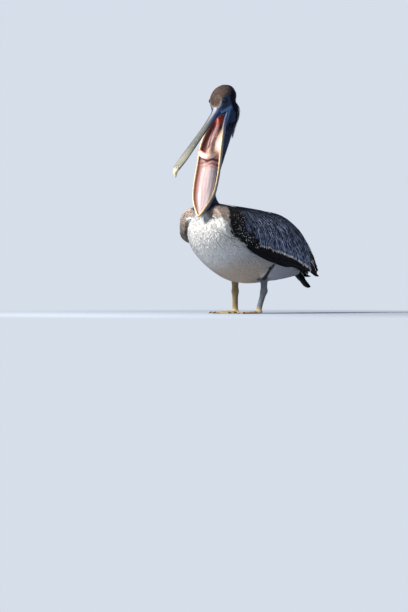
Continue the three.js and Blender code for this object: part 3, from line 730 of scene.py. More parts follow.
def fill(tree, made, inputs):  # a node's inputs from sockets, numbers and colours' codes
    for key, value in (inputs or {}).items():
        socket = made.inputs[key]
        if isinstance(value, bpy.types.NodeSocket):
            tree.links.new(value, socket)
        else:
            socket.default_value = paint(value) if isinstance(value, str) else value
    return made


def node(tree, kind, inputs=None, **settings):
    made = tree.nodes.new("ShaderNode" + kind)
    for key, value in settings.items():
        setattr(made, key, value)
    return fill(tree, made, inputs)


def number(tree, operation, *values):
    return node(tree, "Math", dict(enumerate(values)), operation=operation).outputs[0]


def times(tree, first, second):
    return number(tree, "MULTIPLY", first, second)


def ranged(tree, value, low, high, first=0.0, last=1.0):  # eased from first at low to last at high
    sockets = {"Value": value, "From Min": low, "From Max": high, "To Min": first, "To Max": last}
    return node(tree, "MapRange", sockets, interpolation_type="SMOOTHSTEP").outputs[0]


def blended(tree, factor, first, second, way="MIX"):
    sockets = {0: factor, 6: first, 7: second}
    return node(tree, "Mix", sockets, data_type="RGBA", blend_type=way).outputs[2]


def layered(tree, colour, *layers):
    # Colours laid one over another. Each has the share that it covers, or else a value, where on
    # it the colour starts to show and where it shows in full, and the shares there.
    for over, value, *limits in layers:
        share = ranged(tree, value, *limits) if limits else value
        colour = blended(tree, share, colour, over)
    return colour


def parts(tree, key):  # the three numbers of an attribute
    return node(tree, "SeparateXYZ", {0: attribute(tree, key, "Vector")}).outputs


def clouds(tree, scale, detail=3.0, where=None, stretch=None, roughness=0.5):
    # Noise on the object's own coordinates, or on the place given, stretched per axis.
    place = where or node(tree, "TexCoord").outputs["Object"]
    if stretch:
        place = node(tree, "Mapping", {"Vector": place, "Scale": stretch}).outputs[0]
    sockets = {"Vector": place, "Scale": scale, "Detail": detail, "Roughness": roughness}
    return node(tree, "TexNoise", sockets).outputs["Fac"]


def attribute(tree, key, output="Fac"):
    return node(tree, "Attribute", attribute_name=key).outputs[output]


def newGroup(name, inputs, outputs):
    # A node group with named sockets: inputs are given as name and first value or colour's code.
    made = bpy.data.node_groups.new(name, "ShaderNodeTree")
    for key, value in inputs.items():
        coloured = isinstance(value, str)
        kind = "NodeSocketColor" if coloured else "NodeSocketFloat"
        socket = made.interface.new_socket(key, in_out="INPUT", socket_type=kind)
        socket.default_value = paint(value) if coloured else value
    for key, kind in outputs.items():
        made.interface.new_socket(key, in_out="OUTPUT", socket_type="NodeSocket" + kind)
    return made, made.nodes.new("NodeGroupInput").outputs, made.nodes.new("NodeGroupOutput").inputs


def closed(made, result, colour, height):  # the group with its two results linked
    made.links.new(colour, result["Color"])
    made.links.new(height, result["Height"])
    return made


def useGroup(tree, made, inputs=None):
    box = tree.nodes.new("ShaderNodeGroup")
    box.node_tree = made
    return fill(tree, box, inputs).outputs


def newFinish(name, colour, bump=0.3, distance=0.001, **surface):
    # A material: colour(tree) gives its colour, height and roughness, and the surface's other
    # sockets are plain numbers.
    made = bpy.data.materials.new(name)
    made.use_nodes = True
    tree = made.node_tree
    shader = tree.nodes["Principled BSDF"]
    for key, value in surface.items():
        shader.inputs[key.replace("_", " ")].default_value = value
    painted, raised, rough = colour(tree)
    tree.links.new(painted, shader.inputs["Base Color"])
    if raised is not None:
        relief = node(tree, "Bump", {"Height": raised, "Strength": bump, "Distance": distance})
        tree.links.new(relief.outputs[0], shader.inputs["Normal"])
    if rough is not None:
        tree.links.new(rough, shader.inputs["Roughness"])
    return made


plumageLook = {
    # Nape and Nape Fleck: near-black painted shade over the back of the head, much darker than the
    # crown's brown.
    "Crown": "42332e", "Crown Fleck": "776560", "Nape": "0a0e28",
    "Nape Fleck": "171e42", "Neck": "4c5573", "Mantle": "0d0d16", "Fleck": "bab5b0",
    "Wrist": "b7a193", "Wrist Low": "332b27", "Breast": "eeede9",
    "Mottle": "c0bcb8", "Belly": "bcc0c8", "Vent": "ccbaa8",
    "Face": "08183a", "Gape": "5f89b0", "Leg": "8d7a4c",
    # Shank: slate of the legs' patches, also used as the painted shade of the near leg.
    "Shank": "5e6470", "Foot": "b59f78", "Mouth": "7c4a42",
    "Gape Corner": "9c3d29", "Brow": "85786f", "Ridge": "ecdccd",
    # Dark: colour of the painted shade in the thigh's crease and round the eye.
    "Painted Shade": "070b18",
}


def makePlumageMarks():
    # Colour of the bird at a point: its kinds of plumage and bare skin one over another by their
    # weights, each broken up by noise at its own scale. Skin and feathers share it.
    made, given, result = newGroup("plumageMarks", plumageLook, {"Color": "Color", "Height": "Float"})
    keys = ("plumageA", "plumageB", "bare", "mouth")
    first, second, third, fourth = (parts(made, key) for key in keys)
    where = node(made, "SeparateXYZ", {0: node(made, "TexCoord").outputs["Object"]}).outputs
    broad, spots, fine = (clouds(made, scale, 2.0) for scale in (38.0, 90.0, 420.0))
    crown = layered(made, given["Crown"], (given["Crown Fleck"], fine, 0.48, 0.66))
    # Painted shade: the back of the head and the neck's top take the near-black Nape, the neck below z
    # 0.64 the Neck colour.
    nape = layered(made, given["Nape"], (given["Neck"], where[2], 0.70, 0.64))
    nape = layered(made, nape, (given["Nape Fleck"], fine, 0.54, 0.74, 0, 0.6))
    patchy = times(made, ranged(made, spots, 0.44, 0.7), ranged(made, broad, 0.36, 0.62, 0.1, 0.7))
    breast = layered(made, given["Breast"], (given["Mottle"], patchy))
    low = times(made, ranged(made, where[2], 0.235, 0.15), ranged(made, where[1], 0.09, 0.03))
    belly = layered(
        made, given["Belly"], (given["Vent"], low), (given["Mottle"], broad, 0.4, 0.65, 0, 0.3),
    )
    brown = layered(made, given["Wrist Low"], (given["Wrist"], where[2], 0.30, 0.365))
    brown = layered(made, brown, (given["Fleck"], fine, 0.45, 0.66, 0, 0.7))
    mantle = layered(
        made, given["Mantle"], (given["Fleck"], spots, 0.5, 0.75, 0, 0.15), (brown, third[2]),
    )
    face = layered(
        made, given["Face"], (given["Gape"], third[1]), (given["Gape"], fine, 0.42, 0.7, 0, 0.16),
    )
    # Painted shade: the near (left) leg turns up to 0.75 slate, on top of the slate patches that both
    # legs have.
    nearLegShade = ranged(made, where[0], -0.02, 0.03, 0.0, 0.75)
    slatePatchesAndShade = number(made, "ADD", ranged(made, spots, 0.42, 0.62, 0, 0.5), nearLegShade)
    shank = layered(
        made, given["Leg"], (given["Shank"], slatePatchesAndShade), (given["Foot"], where[2], 0.03, 0.012, 0, 0.75),
    )
    mouth = layered(made, given["Mouth"], (given["Gape Corner"], where[2], 0.68, 0.71))
    upper = number(made, "ADD", number(made, "ADD", first[0], first[1]), second[2])
    # Painted shade, laid over everything else: the thigh's crease and the eye's socket.
    dark = times(made, attribute(made, "dark"), 0.92)
    total = layered(
        made, breast, (belly, second[1]), (mantle, first[2]), (given["Ridge"], fourth[2]),
        (shank, third[0]), (nape, upper, 0.0, 1.0), (crown, first[0]), (face, second[2]),
        (mouth, fourth[0]), (given["Brow"], fourth[1]), (given["Painted Shade"], dark),
    )
    return closed(made, result, total, fine)


def makeVaneMarks():
    # Pattern of one feather from its own map, across and along: its edge, tip and shaft in their
    # own colours, slanting barbs, and a shade of its own. Tip Choice gives some feathers no tip.
    given = {
        "Base": "808080", "Edge": "c0c0c0", "Tip": "e0e0e0", "Shaft": "303030",
        "Deep": "202020", "Gap Amount": 0.0, "Edge Amount": 0.3, "Tip Amount": 0.3, "Tip Start": 0.86,
        "Tip Choice": 0.0, "Shaft Amount": 0.3, "Spread": 0.15,
    }
    made, given, result = newGroup("vaneMarks", given, {"Color": "Color", "Height": "Float"})
    place = node(made, "SeparateXYZ", {0: node(made, "UVMap", uv_map="vane").outputs[0]}).outputs
    tone = attribute(made, "tone")
    off = number(made, "ABSOLUTE", number(made, "MULTIPLY_ADD", place[0], 2.0, -1.0))
    edge = times(made, ranged(made, off, 0.2, 0.6), given["Edge Amount"])
    reach = number(made, "MULTIPLY_ADD", off, 0.06, place[1])
    missing = times(made, ranged(made, tone, 0.5, -0.1), given["Tip Choice"])
    start = number(made, "SUBTRACT", reach, given["Tip Start"])
    tip = times(made, ranged(made, start, 0.0, 0.06), given["Tip Amount"])
    tip = times(made, tip, number(made, "SUBTRACT", 1.0, missing))
    spine = times(made, ranged(made, off, 0.14, 0.03), given["Shaft Amount"])
    slant = number(made, "MULTIPLY_ADD", off, -14.0, times(made, place[1], 55.0))
    ribs = number(made, "SINE", number(made, "MULTIPLY_ADD", tone, 9.0, times(made, slant, 3.0)))
    shade = number(made, "MULTIPLY_ADD", tone, given["Spread"], 1.0)
    shade = number(made, "MULTIPLY_ADD", ribs, 0.07, shade)
    gaps = ranged(made, clouds(made, 85.0, 3.0), 0.48, 0.62, 0.0, -1.0)
    shade = times(made, shade, number(made, "MULTIPLY_ADD", gaps, given["Gap Amount"], 1.0))
    base = layered(made, given["Base"], (given["Deep"], attribute(made, "depth")))
    body = layered(made, base, (given["Edge"], edge), (given["Shaft"], spine), (given["Tip"], tip))
    level = node(made, "CombineXYZ", {0: shade, 1: shade, 2: shade}).outputs[0]
    return closed(made, result, blended(made, 1.0, body, level, "MULTIPLY"), ribs)


def makeSkinGrain():
    # Fine wrinkles and pores of bare skin or horn: cells at one scale and noise at another.
    made, given, result = newGroup("skinGrain", {"Scale": 900.0}, {"Height": "Float"})
    place = node(made, "TexCoord").outputs["Object"]
    sockets = {"Vector": place, "Scale": given["Scale"]}
    cells = node(made, "TexVoronoi", sockets, feature="DISTANCE_TO_EDGE")
    folds = node(made, "TexNoise", {"Vector": place, "Scale": times(made, given["Scale"], 0.3)})
    pores = ranged(made, cells.outputs["Distance"], 0.0, 0.16)
    height = number(made, "MULTIPLY_ADD", pores, 0.3, folds.outputs["Fac"])
    made.links.new(height, result["Height"])
    return made


plumageMarks = makePlumageMarks()
vaneMarks = makeVaneMarks()
skinGrain = makeSkinGrain()


def bodyFinish(tree):  # skin: markings with grain, shinier where bare
    marks = useGroup(tree, plumageMarks)
    bare = parts(tree, "bare")
    grain = useGroup(tree, skinGrain, {"Scale": ranged(tree, bare[0], 0.4, 0.6, 1050.0, 430.0)})
    face = parts(tree, "plumageB")[2]
    wet = parts(tree, "mouth")[0]
    shown = number(tree, "MAXIMUM", number(tree, "MAXIMUM", bare[0], face), wet)
    # Painted shade in the hollows of the grain: bare skin darkens where the grain is low.
    dark = times(tree, ranged(tree, grain["Height"], 0.6, 0.3, 0.0, 0.25), shown)
    colour = layered(tree, marks["Color"], ("15181f", dark))
    height = times(tree, grain["Height"], ranged(tree, bare[0], 0.4, 0.6, 1.0, 2.4))
    return colour, height, ranged(tree, shown, 0.0, 1.0, 0.95, 0.5)


skinFinish = newFinish("feathered skin", bodyFinish, bump=0.3, distance=0.0009, Specular_IOR_Level=0.2)


def vaneFinish(name, look):
    # Feathers: the bird's markings, or a colour of their own, under the pattern of each feather.
    def colour(tree):
        sockets = {key: value for key, value in look.items() if key != "rough"}
        if "Base" not in sockets:
            sockets["Base"] = useGroup(tree, plumageMarks)["Color"]
        pattern = useGroup(tree, vaneMarks, sockets)
        return pattern["Color"], pattern["Height"], None
    surface = {"Roughness": look["rough"], "Specular_IOR_Level": 0.08}
    return newFinish(name, colour, bump=0.4, distance=0.0004, **surface)


# Horn and bare parts of the head

markLength = 400  # mm that places along the bill and the pouch are shares of
billLook = {"ridge": 1.1, "groove": 1.3, "grooveDeg": 33, "rings": 150, "sideCount": 72}


def billGrid(stops, sideCount, inset=0.0):
    # Section of the bill: its oval, with a ridge along the top, a groove on each side of it, a
    # lip at the cutting edge and a hollow palate with a keel.
    grid = bodyGrid(headAxes, head, stops, sideCount, 0.96, inset)
    low, high = (read(head, key, stops)[:, None] for key in ("low", "high"))
    a = turns(sideCount)[None]
    fromTop = np.degrees(apart(a, np.pi / 2))
    fromBelow = 180 - fromTop
    body = smooth(stops, 52, 90)[:, None] * smooth(stops, 396, 372)[:, None]
    ridge = billLook["ridge"] * hill(fromTop, 0, 12)
    groove = -billLook["groove"] * hill(fromTop, billLook["grooveDeg"], 9)
    lip = 0.6 * hill(fromBelow, 68, 10)
    palate = -2.6 * hill(fromBelow, 26, 16) + 0.8 * hill(fromBelow, 0, 5)
    size = np.minimum(1.0, (high - low) / 16)
    sunk = 2.4 * smooth(stops, 78, 52) + 3.3 * smooth(stops, 62, 54)
    offset = (ridge + groove + lip - 0.5 + palate * size) * body - sunk[:, None]
    middle = placed(headAxes, stops, 0, ((low + high) / 2)[:, 0])[:, None]
    return grid + unit(grid - middle) * offset[..., None], fromTop


def makeBill():
    stops = np.linspace(50, head["nailFrom"] + 2, billLook["rings"])
    grid, fromTop = billGrid(stops, billLook["sideCount"])
    values = {"hornAlong": stops[:, None] / markLength, "hornTurn": fromTop / 180}
    return tubePiece("bill_upper_horn", grid, values, billFinish, "bill_horn", "bill_upper")


def makeNail():
    stops = eased(head["nailFrom"] - 1, head["along"][-1], 44)
    grid, _ = billGrid(stops, 40)
    swell = 0.9 * hill(stops, 368, 7)
    middle = grid.mean(1, keepdims=True)
    grid = grid + unit(grid - middle) * swell[:, None, None]
    share = (stops - head["nailFrom"]) / (head["along"][-1] - head["nailFrom"])
    values = {"hornAlong": share[:, None]}
    return tubePiece("bill_nail_horn", grid, values, nailFinish, "bill_nail", "bill_nail")


def billColour(tree):
    # Pale along the top, blue on the base's flanks and slate further out, with a pale cutting edge
    # by the face and a warm palate. Turn runs from 0 on top to 1 below.
    along, turn = attribute(tree, "hornAlong"), attribute(tree, "hornTurn")
    streaks = clouds(tree, 60.0, 4.0, stretch=(6, 6, 6))
    mottle = clouds(tree, 210.0, 3.0)
    top = layered(tree, "82848d", ("5c5d57", along, 0.16, 0.4), ("7f7d72", along, 0.6, 0.85))
    flank = layered(tree, "0b1e42", ("454744", along, 0.2, 0.45), ("6f6d62", along, 0.6, 0.85))
    edge = layered(tree, "122a52", ("26292c", along, 0.3, 0.6))
    under = layered(tree, "a0553f", ("8f8272", along, 0.2, 0.5))
    reach = number(tree, "SUBTRACT", turn, ranged(tree, along, 0.16, 0.45, 0.06, 0.12))
    rim = times(tree, ranged(tree, turn, 0.58, 0.63), ranged(tree, along, 0.3, 0.2))
    spots = times(tree, ranged(tree, mottle, 0.5, 0.75, 0, 0.35), ranged(tree, along, 0.25, 0.5))
    dark = times(tree, ranged(tree, streaks, 0.5, 0.75, 0, 0.6), ranged(tree, along, 0.15, 0.4))
    colour = layered(
        tree, top, (flank, reach, 0.0, 0.13), (edge, turn, 0.42, 0.52), ("8298b2", rim),
        (under, turn, 0.7, 0.76), ("a9a797", spots), ("43443f", dark),
    )
    return colour, streaks, None


def nailColour(tree):
    mottle = clouds(tree, 260.0, 3.0)
    along = attribute(tree, "hornAlong")
    knob = layered(tree, "93948a", ("45474a", mottle, 0.4, 0.62))
    hook = layered(tree, "d8cda3", ("b8a671", mottle, 0.4, 0.7))
    colour = layered(tree, knob, (hook, along, 0.3, 0.6), ("e3dcbc", along, 0.8, 1.0, 0, 0.6))
    return colour, mottle, None


hornSurface = {"Roughness": 0.5, "Specular_IOR_Level": 0.3}
billFinish = newFinish("bill horn", billColour, bump=0.35, distance=0.0008, **hornSurface)
nailFinish = newFinish("nail horn", nailColour, bump=0.15, distance=0.0006, Roughness=0.32)


def makeRamus(name, sign):
    # Rim of the lower jaw: an oval blade with a rounded ridge on top and a crease on its outside.
    stops = eased(jaw["along"][0], jaw["along"][-1], 150)
    centre = jawLine(sign, stops)
    run = runOf(centre)
    across = unit(np.cross(run, jawAxes["up"]))
    a = turns(22)
    wide, deep = (read(jaw, key, stops)[:, None] for key in ("wide", "deep"))
    wide = wide * (1 - 0.28 * hill(np.degrees(np.abs(np.sin(a))), 0, 12)) * 0.96
    side = wide * np.sign(np.cos(a)) * np.abs(np.cos(a)) ** 0.9
    up = deep * np.sin(a) - deep * 0.5
    grid = centre[:, None] + side[..., None] * across[:, None] + up[..., None] * jawAxes["up"]
    facing = np.sign(across @ jawAxes["side"])[:, None] * sign
    values = {
        "jawAlong": stops[:, None] / jaw["along"][-1], "jawUp": np.sin(a), "jawOut": np.cos(a) * facing,
    }
    return tubePiece(name + "_rim", grid, values, rimFinish, "jaw_rim", name)


def rimColour(tree):
    along, up, out = (attribute(tree, key) for key in ("jawAlong", "jawUp", "jawOut"))
    mottle = clouds(tree, 150.0, 3.0)
    top = layered(tree, "d8c19b", ("c4a273", mottle, 0.42, 0.62))
    top = layered(tree, "3f5f88", (top, along, 0.05, 0.3))
    outside = layered(tree, "122c58", ("6d6a60", along, 0.1, 0.5))
    inside = layered(tree, "93544a", ("b98a72", along, 0.3, 0.8))
    lower = layered(tree, inside, (outside, out, -0.3, 0.3))
    colour = layered(tree, lower, (top, up, -0.25, 0.35))
    return colour, mottle, None


rimFinish = newFinish("jaw rim", rimColour, bump=0.2, distance=0.0006, Roughness=0.4)


# Pouch: a closed shell of stretched skin between the rami, and the roll of throat skin

pouchLook = {
    "valley": 20.0, "hump": 11.0, "sag": 28.0, "from": 6.0, "to": 390.0,
    "rows": 210, "cols": 96,
    "foldDepth": 1.7, "creaseDepth": 2.8, "throatDepth": 7.0, "pleatDepth": 1.5,
}


def pouchGrid():
    # Front: a valley of 20 mm times one less u to the fourth, with a hump of 11 mm, where u runs
    # from -1 at the right ramus to 1 at the left. Behind: a bag of 28 mm times the root of one
    # less u squared. Lengthwise folds fan out on the front, the throat behind the roll lies
    # deeper, and creases cross below the roll.
    look = pouchLook
    stops = np.linspace(look["from"], look["to"], look["rows"])
    u = np.sin(np.linspace(-np.pi / 2, np.pi / 2, look["cols"] // 2))[None] * 0.995
    along = stops[:, None] + 0 * u
    half = read(jaw, "half", stops)[:, None]
    rise = read(jaw, "rise", stops)[:, None]
    wide = read(jaw, "wide", stops)[:, None]
    ease = np.minimum(1, half / 30)
    front = rise - 3.5 + ease * (look["hump"] * hill(u, 0, 0.5) - look["valley"] * (1 - u**4))
    inner = 1 - u**6
    drift = 0.35 * np.sin(along / 46) + 0.2 * np.sin(along / 17 + 3 * u)
    ribs = np.cos(17 * u + 1.5 * drift) * hill(u, 0.1, 0.75) + 0.6 * np.cos(31 * u - 2 * drift + 1)
    shallow = mixed(0.25, 1.0, hill(u + 0.15 * np.sin(along / 60), 0.15, 0.4))
    border = through([28, 45, 60, 90, 118, 130, 150, 170], [8, 10, 8, 9, 1, -9, -22, -30], along)
    cream = smooth(u * half - border, -7, 7) * smooth(along, 20, 40)
    throat = smooth(along, 162, 128) * smooth(along, 10, 40) * (1 - 0.9 * cream)
    pleats = (np.cos(13 * u + along / 60 + 0.8) + 0.35 * np.cos(29 * u - along / 21)) * (1 - 0.7 * cream)
    crossing = smooth(along, 156, 168) * smooth(along, 214, 186)
    wave = along - 20 * u**2 + 9 * np.sin(2.9 * u + 0.6) + 14 * np.abs(u - 0.3)
    folds = look["foldDepth"] * ribs * shallow * smooth(along, 175, 230) * ease
    folds = folds + look["pleatDepth"] * pleats * throat
    creases = np.sin(2 * np.pi * wave / 17) * crossing * (0.75 + 0.45 * np.sin(3 * u))
    folds = (folds + look["creaseDepth"] * creases) * inner
    front = front - look["throatDepth"] * throat * inner + folds
    crest = np.interp(along, [26, 72, 118, 158], [12, 18, 24, 14])
    ridge = 11 * hill(u * half, crest, mixed(17, 28, smooth(along, 100, 150)))
    raised = rise - 2 + ridge + 0.7 * np.sin(along / 13 + 5 * u)
    front = mixed(front, raised, 0.9 * cream * smooth(along, 24, 125) * smooth(along, 170, 150))
    behind = rise - 7 - ease * look["sag"] * np.sqrt(np.maximum(0, 1 - u**2))
    behind = behind + 0.9 * np.sin(along / 9 + 4 * u) * inner * ease
    side = u * (half - 0.25 * wide)
    outer = placed(jawAxes, along, side, front)
    under = placed(jawAxes, along, side, np.minimum(behind, front - 1.6))
    grid = np.concatenate([outer, under[:, ::-1]], 1)
    across = np.concatenate([u + 0 * along, u[:, ::-1] + 0 * along], 1)
    shown = np.concatenate([np.ones_like(along), np.zeros_like(along)], 1)
    depth = np.concatenate([folds, 0 * folds], 1)
    cream = np.concatenate([cream, 0 * cream], 1)
    return grid, along[:, :1] / markLength, across, shown, depth, cream


def makePouch():
    grid, *fields = pouchGrid()
    keys = ("pouchAlong", "pouchAcross", "pouchInner", "pouchFold", "pouchCream")
    values = dict(zip(keys, fields))
    return tubePiece("pouch_skin_sheet", grid, values, pouchFinish, "pouch_skin", "pouch")


def pouchColour(tree):
    along, across, inner = (attribute(tree, key) for key in ("pouchAlong", "pouchAcross", "pouchInner"))
    place = node(tree, "CombineXYZ", {0: across, 1: times(tree, along, 2.2), 2: inner}).outputs[0]
    streaks = clouds(tree, 3.4, 5.0, where=place, stretch=(3.0, 0.55, 1.0), roughness=0.6)
    veins = clouds(tree, 9.0, 6.0, where=place, stretch=(2.0, 0.5, 1.0), roughness=0.65)
    # Painted shade in the folds: 0 at the surface, 1 where a fold sinks 1.8 mm.
    creaseShade = ranged(tree, attribute(tree, "pouchFold"), 0.3, -1.8)
    # Painted shade along the inside of the far ramus, low on the lining.
    farRimShade = times(tree, ranged(tree, across, -0.72, -0.97), ranged(tree, along, 0.34, 0.5))
    # Painted shadow under the roll, darker still in the creases there.
    folded = layered(tree, "9f7971", ("6f3e39", creaseShade))
    # Painted shade: the lining darkens from the far side towards the near ramus (across -0.8 to 0.6).
    lining = layered(
        tree, "b9a7a5", ("998689", streaks, 0.38, 0.6), ("b28781", veins, 0.5, 0.68, 0, 0.5),
        ("a68a8d", times(tree, creaseShade, 0.55)), ("82747a", across, -0.8, 0.6, 0.0, 0.9),
        ("8e5348", farRimShade), (folded, along, 0.53, 0.47),
    )
    cream = layered(tree, "c9a493", ("b58472", streaks, 0.4, 0.62), ("b8674c", along, 0.11, 0.06))
    # The throat darkens in its deeper pleats: painted shade.
    throat = layered(
        tree, "74423f", ("5c3230", streaks, 0.36, 0.62), ("3a191b", times(tree, creaseShade, 0.7)),
        ("9c3d29", along, 0.12, 0.05), (cream, attribute(tree, "pouchCream")),
    )
    outside = layered(tree, "6f6a70", ("4c4b55", veins, 0.4, 0.65))
    colour = layered(tree, outside, (layered(tree, throat, (lining, along, 0.40, 0.43)), inner))
    return colour, veins, ranged(tree, veins, 0.35, 0.7, 0.38, 0.6)


pouchSurface = {"Subsurface_Weight": 0.12, "Subsurface_Scale": 0.004, "Specular_IOR_Level": 0.45}
pouchFinish = newFinish("pouch skin", pouchColour, bump=0.5, distance=0.0015, **pouchSurface)

rollLook = {  # along, side and up of the jaw's frame, and radius, at points of the roll
    "along": [62, 86, 122, 158, 168, 159, 144],
    "side": [18, 21, 24, 14, -14, -38, -53],
    "up": [-19, -10, 0, 4, 5, 8, 10],
    "radius": [3, 6, 9, 11, 11, 11, 8],
}


def makeRoll():
    # Fold of skin carried along a line: an oval section that flattens on its far side, with a
    # crease that winds slowly round it and small wrinkles along it.
    t = np.linspace(0, 1, 120)
    index = np.arange(7)
    keys = ("along", "side", "up", "radius")
    along, side, up, radius = (through(index, rollLook[key], t * 6) for key in keys)
    centre = placed(jawAxes, along, side, up)
    run = runOf(centre)
    across = unit(np.cross(jawAxes["up"] + 0 * run, run))
    other = np.cross(run, across)
    radius = radius * rounded(t, 0.93, 1) * rounded(t, 0.05, 0)
    a = turns(56)[None]
    t = t[:, None]
    fold = -0.13 * hill(apart(a, 0.9 + 2.2 * t), 0, 0.22)
    fold = fold - 0.09 * hill(apart(a, 2.3 + 1.2 * t), 0, 0.18)
    wrinkle = 0.02 * np.sin(60 * t + 2.5 * np.sin(a)) + 0.015 * np.sin(5 * a + 9 * t)
    shape = radius[:, None] * 0.97 * (1 + fold + wrinkle)
    grid = centre[:, None] + (shape * np.cos(a))[..., None] * across[:, None]
    flat = mixed(0.6, 1.0, smooth(t, 0.45, 0.7))
    grid = grid + (flat * shape * np.sin(a))[..., None] * other[:, None]
    values = {"rollAlong": t, "rollFold": fold + wrinkle}
    return tubePiece("throat_roll_skin", grid, values, rollFinish, "pouch_skin", "throat_roll")


def rollColour(tree):
    along, fold = attribute(tree, "rollAlong"), attribute(tree, "rollFold")
    mottle = clouds(tree, 55.0, 5.0)
    pale = layered(tree, "e3cdc0", ("d6ae9e", mottle, 0.4, 0.65))
    # Painted shade: the roll turns darker where its crease and wrinkles sink in.
    colour = layered(
        tree, pale,
        ("b5705f", fold, -0.04, -0.11), ("c8603c", along, 0.1, 0.03), ("a55f50", along, 0.82, 0.98),
    )
    return colour, mottle, ranged(tree, mottle, 0.35, 0.7, 0.35, 0.55)


rollFinish = newFinish("throat skin", rollColour, bump=0.4, distance=0.0012, **pouchSurface)


# Eyes and eyelids

def makeEye(name, sign):
    # Ball of revolution round the side axis: a sphere with a smaller, steeper dome on its front.
    b = np.linspace(0.001, np.pi - 0.001, 40)
    a = turns(40)
    dome = (1 + 0.05 * hill(b, 0, 0.55)) * (eye["radius"] - 0.35)
    out, ring = np.cos(b) * dome, np.sin(b) * dome
    direction = headAxes["side"] * sign
    middle = placed(headAxes, eye["along"], sign * eye["side"], eye["up"])
    grid = middle + out[:, None, None] * direction
    grid = grid + (ring[:, None] * np.cos(a))[..., None] * headAxes["along"]
    grid = grid + (ring[:, None] * np.sin(a))[..., None] * headAxes["up"]
    values = {"eyeRing": ring[:, None] / 10}
    return tubePiece(name + "_ball", grid, values, eyeFinish, "eye", name)


def eyeColour(tree):
    ring = attribute(tree, "eyeRing")
    rays = clouds(tree, 900.0, 4.0)
    iris = layered(tree, "0e0805", ("20130b", rays, 0.35, 0.65))
    colour = layered(tree, "030304", (iris, ring, 0.33, 0.37), ("070606", ring, 0.56, 0.62))
    return colour, None, None


eyeSurface = {"Roughness": 0.25, "Specular_IOR_Level": 0.06, "Coat_Weight": 0.12, "Coat_Roughness": 0.05}
eyeFinish = newFinish("eye", eyeColour, **eyeSurface)


def makeLids(name, sign):
    # Rounded rim of skin carried round the eye's opening, an oval drawn out to a point fore and
    # aft, with the upper lid hanging a little over the ball.
    a = turns(72)
    b = turns(18)
    fore = eyeLook["opening"] * np.cos(a) * (1 + 0.10 * np.abs(np.cos(a)) ** 6)
    rise = eyeLook["openingUp"] * np.sin(a) * (1 - 0.08 * hill(a, np.pi / 2, 0.9))
    reach = np.sqrt(np.maximum((eye["radius"] - 0.3) ** 2 - fore**2 - rise**2, 4))
    reach = reach + 0.5 * hill(a, np.pi / 2, 0.8)
    thick = eyeLook["lid"] * (0.75 + 0.3 * hill(a, np.pi / 2, 0.9) + 0.12 * hill(a, 3 * np.pi / 2, 0.9))
    outward = unit(np.stack([fore, rise], -1))
    section = thick[:, None] * np.cos(b)
    alongPart = fore[:, None] + outward[:, :1] * (section + 0.9)
    upPart = rise[:, None] + outward[:, 1:] * (section + 0.9)
    sidePart = reach[:, None] - 0.5 + 0.72 * thick[:, None] * np.sin(b)
    grid = placed(headAxes, eye["along"] + alongPart, sign * (eye["side"] + sidePart), eye["up"] + upPart)
    rows, cols = grid.shape[:2]
    i, j = np.meshgrid(np.arange(rows), np.arange(cols), indexing="ij")
    k, m = (i + 1) % rows, (j + 1) % cols
    quads = np.stack([i * cols + j, i * cols + m, k * cols + m, k * cols + j], -1).reshape(-1, 4)
    piece = makePiece(name + "_lids", *joined([(grid.reshape(-1, 3), [quads])]))
    return finished(piece, lidFinish, "crown_feathers")


def lidColour(tree):
    mottle = clouds(tree, 500.0, 4.0)
    return layered(tree, "060913", ("121a2d", mottle, 0.4, 0.65)), mottle, None


lidFinish = newFinish("eyelid", lidColour, bump=0.5, distance=0.0006, Roughness=0.5)


# Claws

def makeClaw(name, sign, k):
    # Tapered horn carried along a curve that bends down to the floor, flattened at its sides.
    run = toeAngle(sign, np.float64(foot["turnDeg"][k]))
    across = np.array([-run[1], run[0], 0])
    t = np.linspace(0, 1, 26)
    size = foot["tip"][k]
    long = foot["claw"][k]
    reach = foot["length"][k] * 0.97 - 2 + (long + 2) * t
    height = size * (0.95 + 0.45 * t - 1.3 * t**2)
    centre = footBase(sign) + reach[:, None] * run + height[:, None] * [0, 0, 1.0]
    thick = size * 0.62 * np.sqrt(np.maximum(1 - t**1.6, 0.004))
    way = runOf(centre)
    grid = sweep(centre, across, np.cross(across, way), thick * 0.85, thick, 16)
    grid[..., 2] = np.maximum(grid[..., 2], 0.0)
    values = {"clawAlong": t[:, None]}
    return tubePiece(name + "_horn", grid, values, clawFinish, "claw_horn", name)


def clawColour(tree):
    mottle = clouds(tree, 380.0, 3.0)
    base = layered(tree, "3a332c", ("5a4f42", mottle, 0.4, 0.7))
    return layered(tree, base, ("1d1a17", attribute(tree, "clawAlong"), 0.2, 0.9)), mottle, None


clawFinish = newFinish("claw horn", clawColour, bump=0.2, distance=0.0005, Roughness=0.4)

makeBill()
makeNail()
makePouch()
makeRoll()
for sideName, sign in sides.items():
    makeRamus("jaw_" + sideName, sign)
    makeEye("eye_" + sideName, sign)
    makeLids("eye_" + sideName, sign)
    for k, toe in enumerate(toeNames):
        makeClaw("claw_" + sideName + "_" + toe, sign, k)
print("bare parts made")
skinNodes = ["head", "neck_upper", "neck_lower", "trunk"]
for sideName in sides:
    skinNodes += [part + sideName for part in ("shin_", "tarsus_", "foot_")]
    skinNodes.append("wing_" + sideName + "_coverts")
finished(skin, skinFinish, "breast_feathers", *skinNodes)


# Feathers

